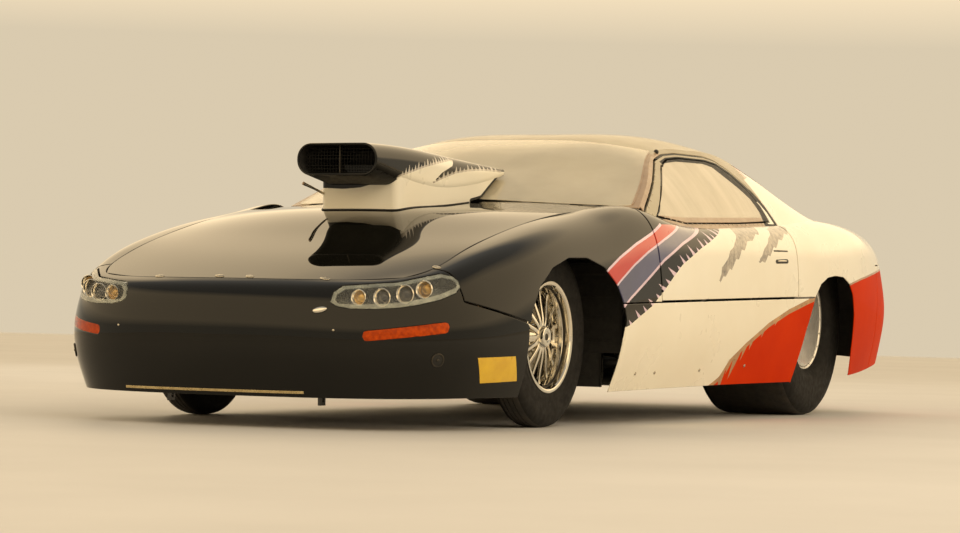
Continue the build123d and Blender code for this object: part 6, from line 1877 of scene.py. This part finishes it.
# ---------------- floor, light and camera ----------------
floor_mat = finish_of("studio_floor", rgb(206, 201, 192), rgb(198, 193, 184), 0.6, rough=0.6, rough_var=0.04, bump=0.02, bump_scale=90)
me = bpy.data.meshes.new("floor")
nf = 24
fv = [(-30 + 60 * i / nf, -30 + 60 * j / nf, 0) for i in range(nf + 1) for j in range(nf + 1)]
ff = [(i * (nf + 1) + j, (i + 1) * (nf + 1) + j, (i + 1) * (nf + 1) + j + 1, i * (nf + 1) + j + 1) for i in range(nf) for j in range(nf)]
me.from_pydata(fv, [], ff)
me.materials.append(floor_mat)
me.update()
floor = bpy.data.objects.new("floor", me)
bpy.context.scene.collection.objects.link(floor)

world = bpy.data.worlds.new("studio")
bpy.context.scene.world = world
world.use_nodes = True
nt = world.node_tree
bg = next(n for n in nt.nodes if n.type == "BACKGROUND")
tc = nt.nodes.new("ShaderNodeTexCoord")
sep = nt.nodes.new("ShaderNodeSeparateXYZ")
ramp = nt.nodes.new("ShaderNodeValToRGB")
nt.links.new(tc.outputs["Generated"], sep.inputs[0])
nt.links.new(sep.outputs["Z"], ramp.inputs[0])
ramp.color_ramp.elements[0].position = 0.0
ramp.color_ramp.elements[0].color = (0.400, 0.340, 0.245, 1)
ramp.color_ramp.elements[1].position = 0.85
ramp.color_ramp.elements[1].color = (0.27, 0.25, 0.215, 1)
for at_, col_ in ((0.09, (0.400, 0.340, 0.245, 1)), (0.17, (1.0, 0.775, 0.48, 1)), (0.56, (1.0, 0.775, 0.48, 1)), (0.7, (0.27, 0.25, 0.215, 1))):
    ramp.color_ramp.elements.new(at_).color = col_
nt.links.new(ramp.outputs[0], bg.inputs["Color"])
bg.inputs["Strength"].default_value = 1.75


def area(name, at, to, size, power, colour=(1, 0.95, 0.87)):
    li = bpy.data.lights.new(name, "AREA")
    li.shape, li.size, li.size_y, li.energy, li.color = "RECTANGLE", size[0], size[1], power, colour
    ob = bpy.data.objects.new(name, li)
    bpy.context.scene.collection.objects.link(ob)
    d = Vector(to) - Vector(at)
    ob.matrix_world = Matrix.Translation(at) @ d.to_track_quat("-Z", "Y").to_matrix().to_4x4()
    ob.visible_glossy = False
    return ob


area("key", (5.5, 6.5, 6.0), (0, 0, 0.4), (6, 4), 190)
area("side", (-1.5, 9.0, 3.0), (-1, 0, 0.5), (8, 3), 120)
area("far", (-6.0, -5.0, 5.0), (-1, 0, 0.6), (6, 4), 100)

cam_data = bpy.data.cameras.new("camera")
cam = bpy.data.objects.new("camera", cam_data)
bpy.context.scene.collection.objects.link(cam)
cam_data.sensor_width = 36.0
cam_data.lens = 3086.45 * 36.0 / 960
cam_data.shift_x, cam_data.shift_y = -5.30 / 960, 1.13 / 960
cam_data.clip_start, cam_data.clip_end = 0.1, 200
right, down, ahead = (-0.431045, 0.902039, 0.022912), (-0.025111, 0.01339, -0.999595), (-0.901981, -0.431446, 0.016879)
cam.matrix_world = Matrix(((right[0], -down[0], -ahead[0], 11.7426), (right[1], -down[1], -ahead[1], 5.357),
                           (right[2], -down[2], -ahead[2], 0.3852), (0, 0, 0, 1)))
bpy.context.scene.camera = cam
bpy.context.scene.view_settings.view_transform = "Standard"
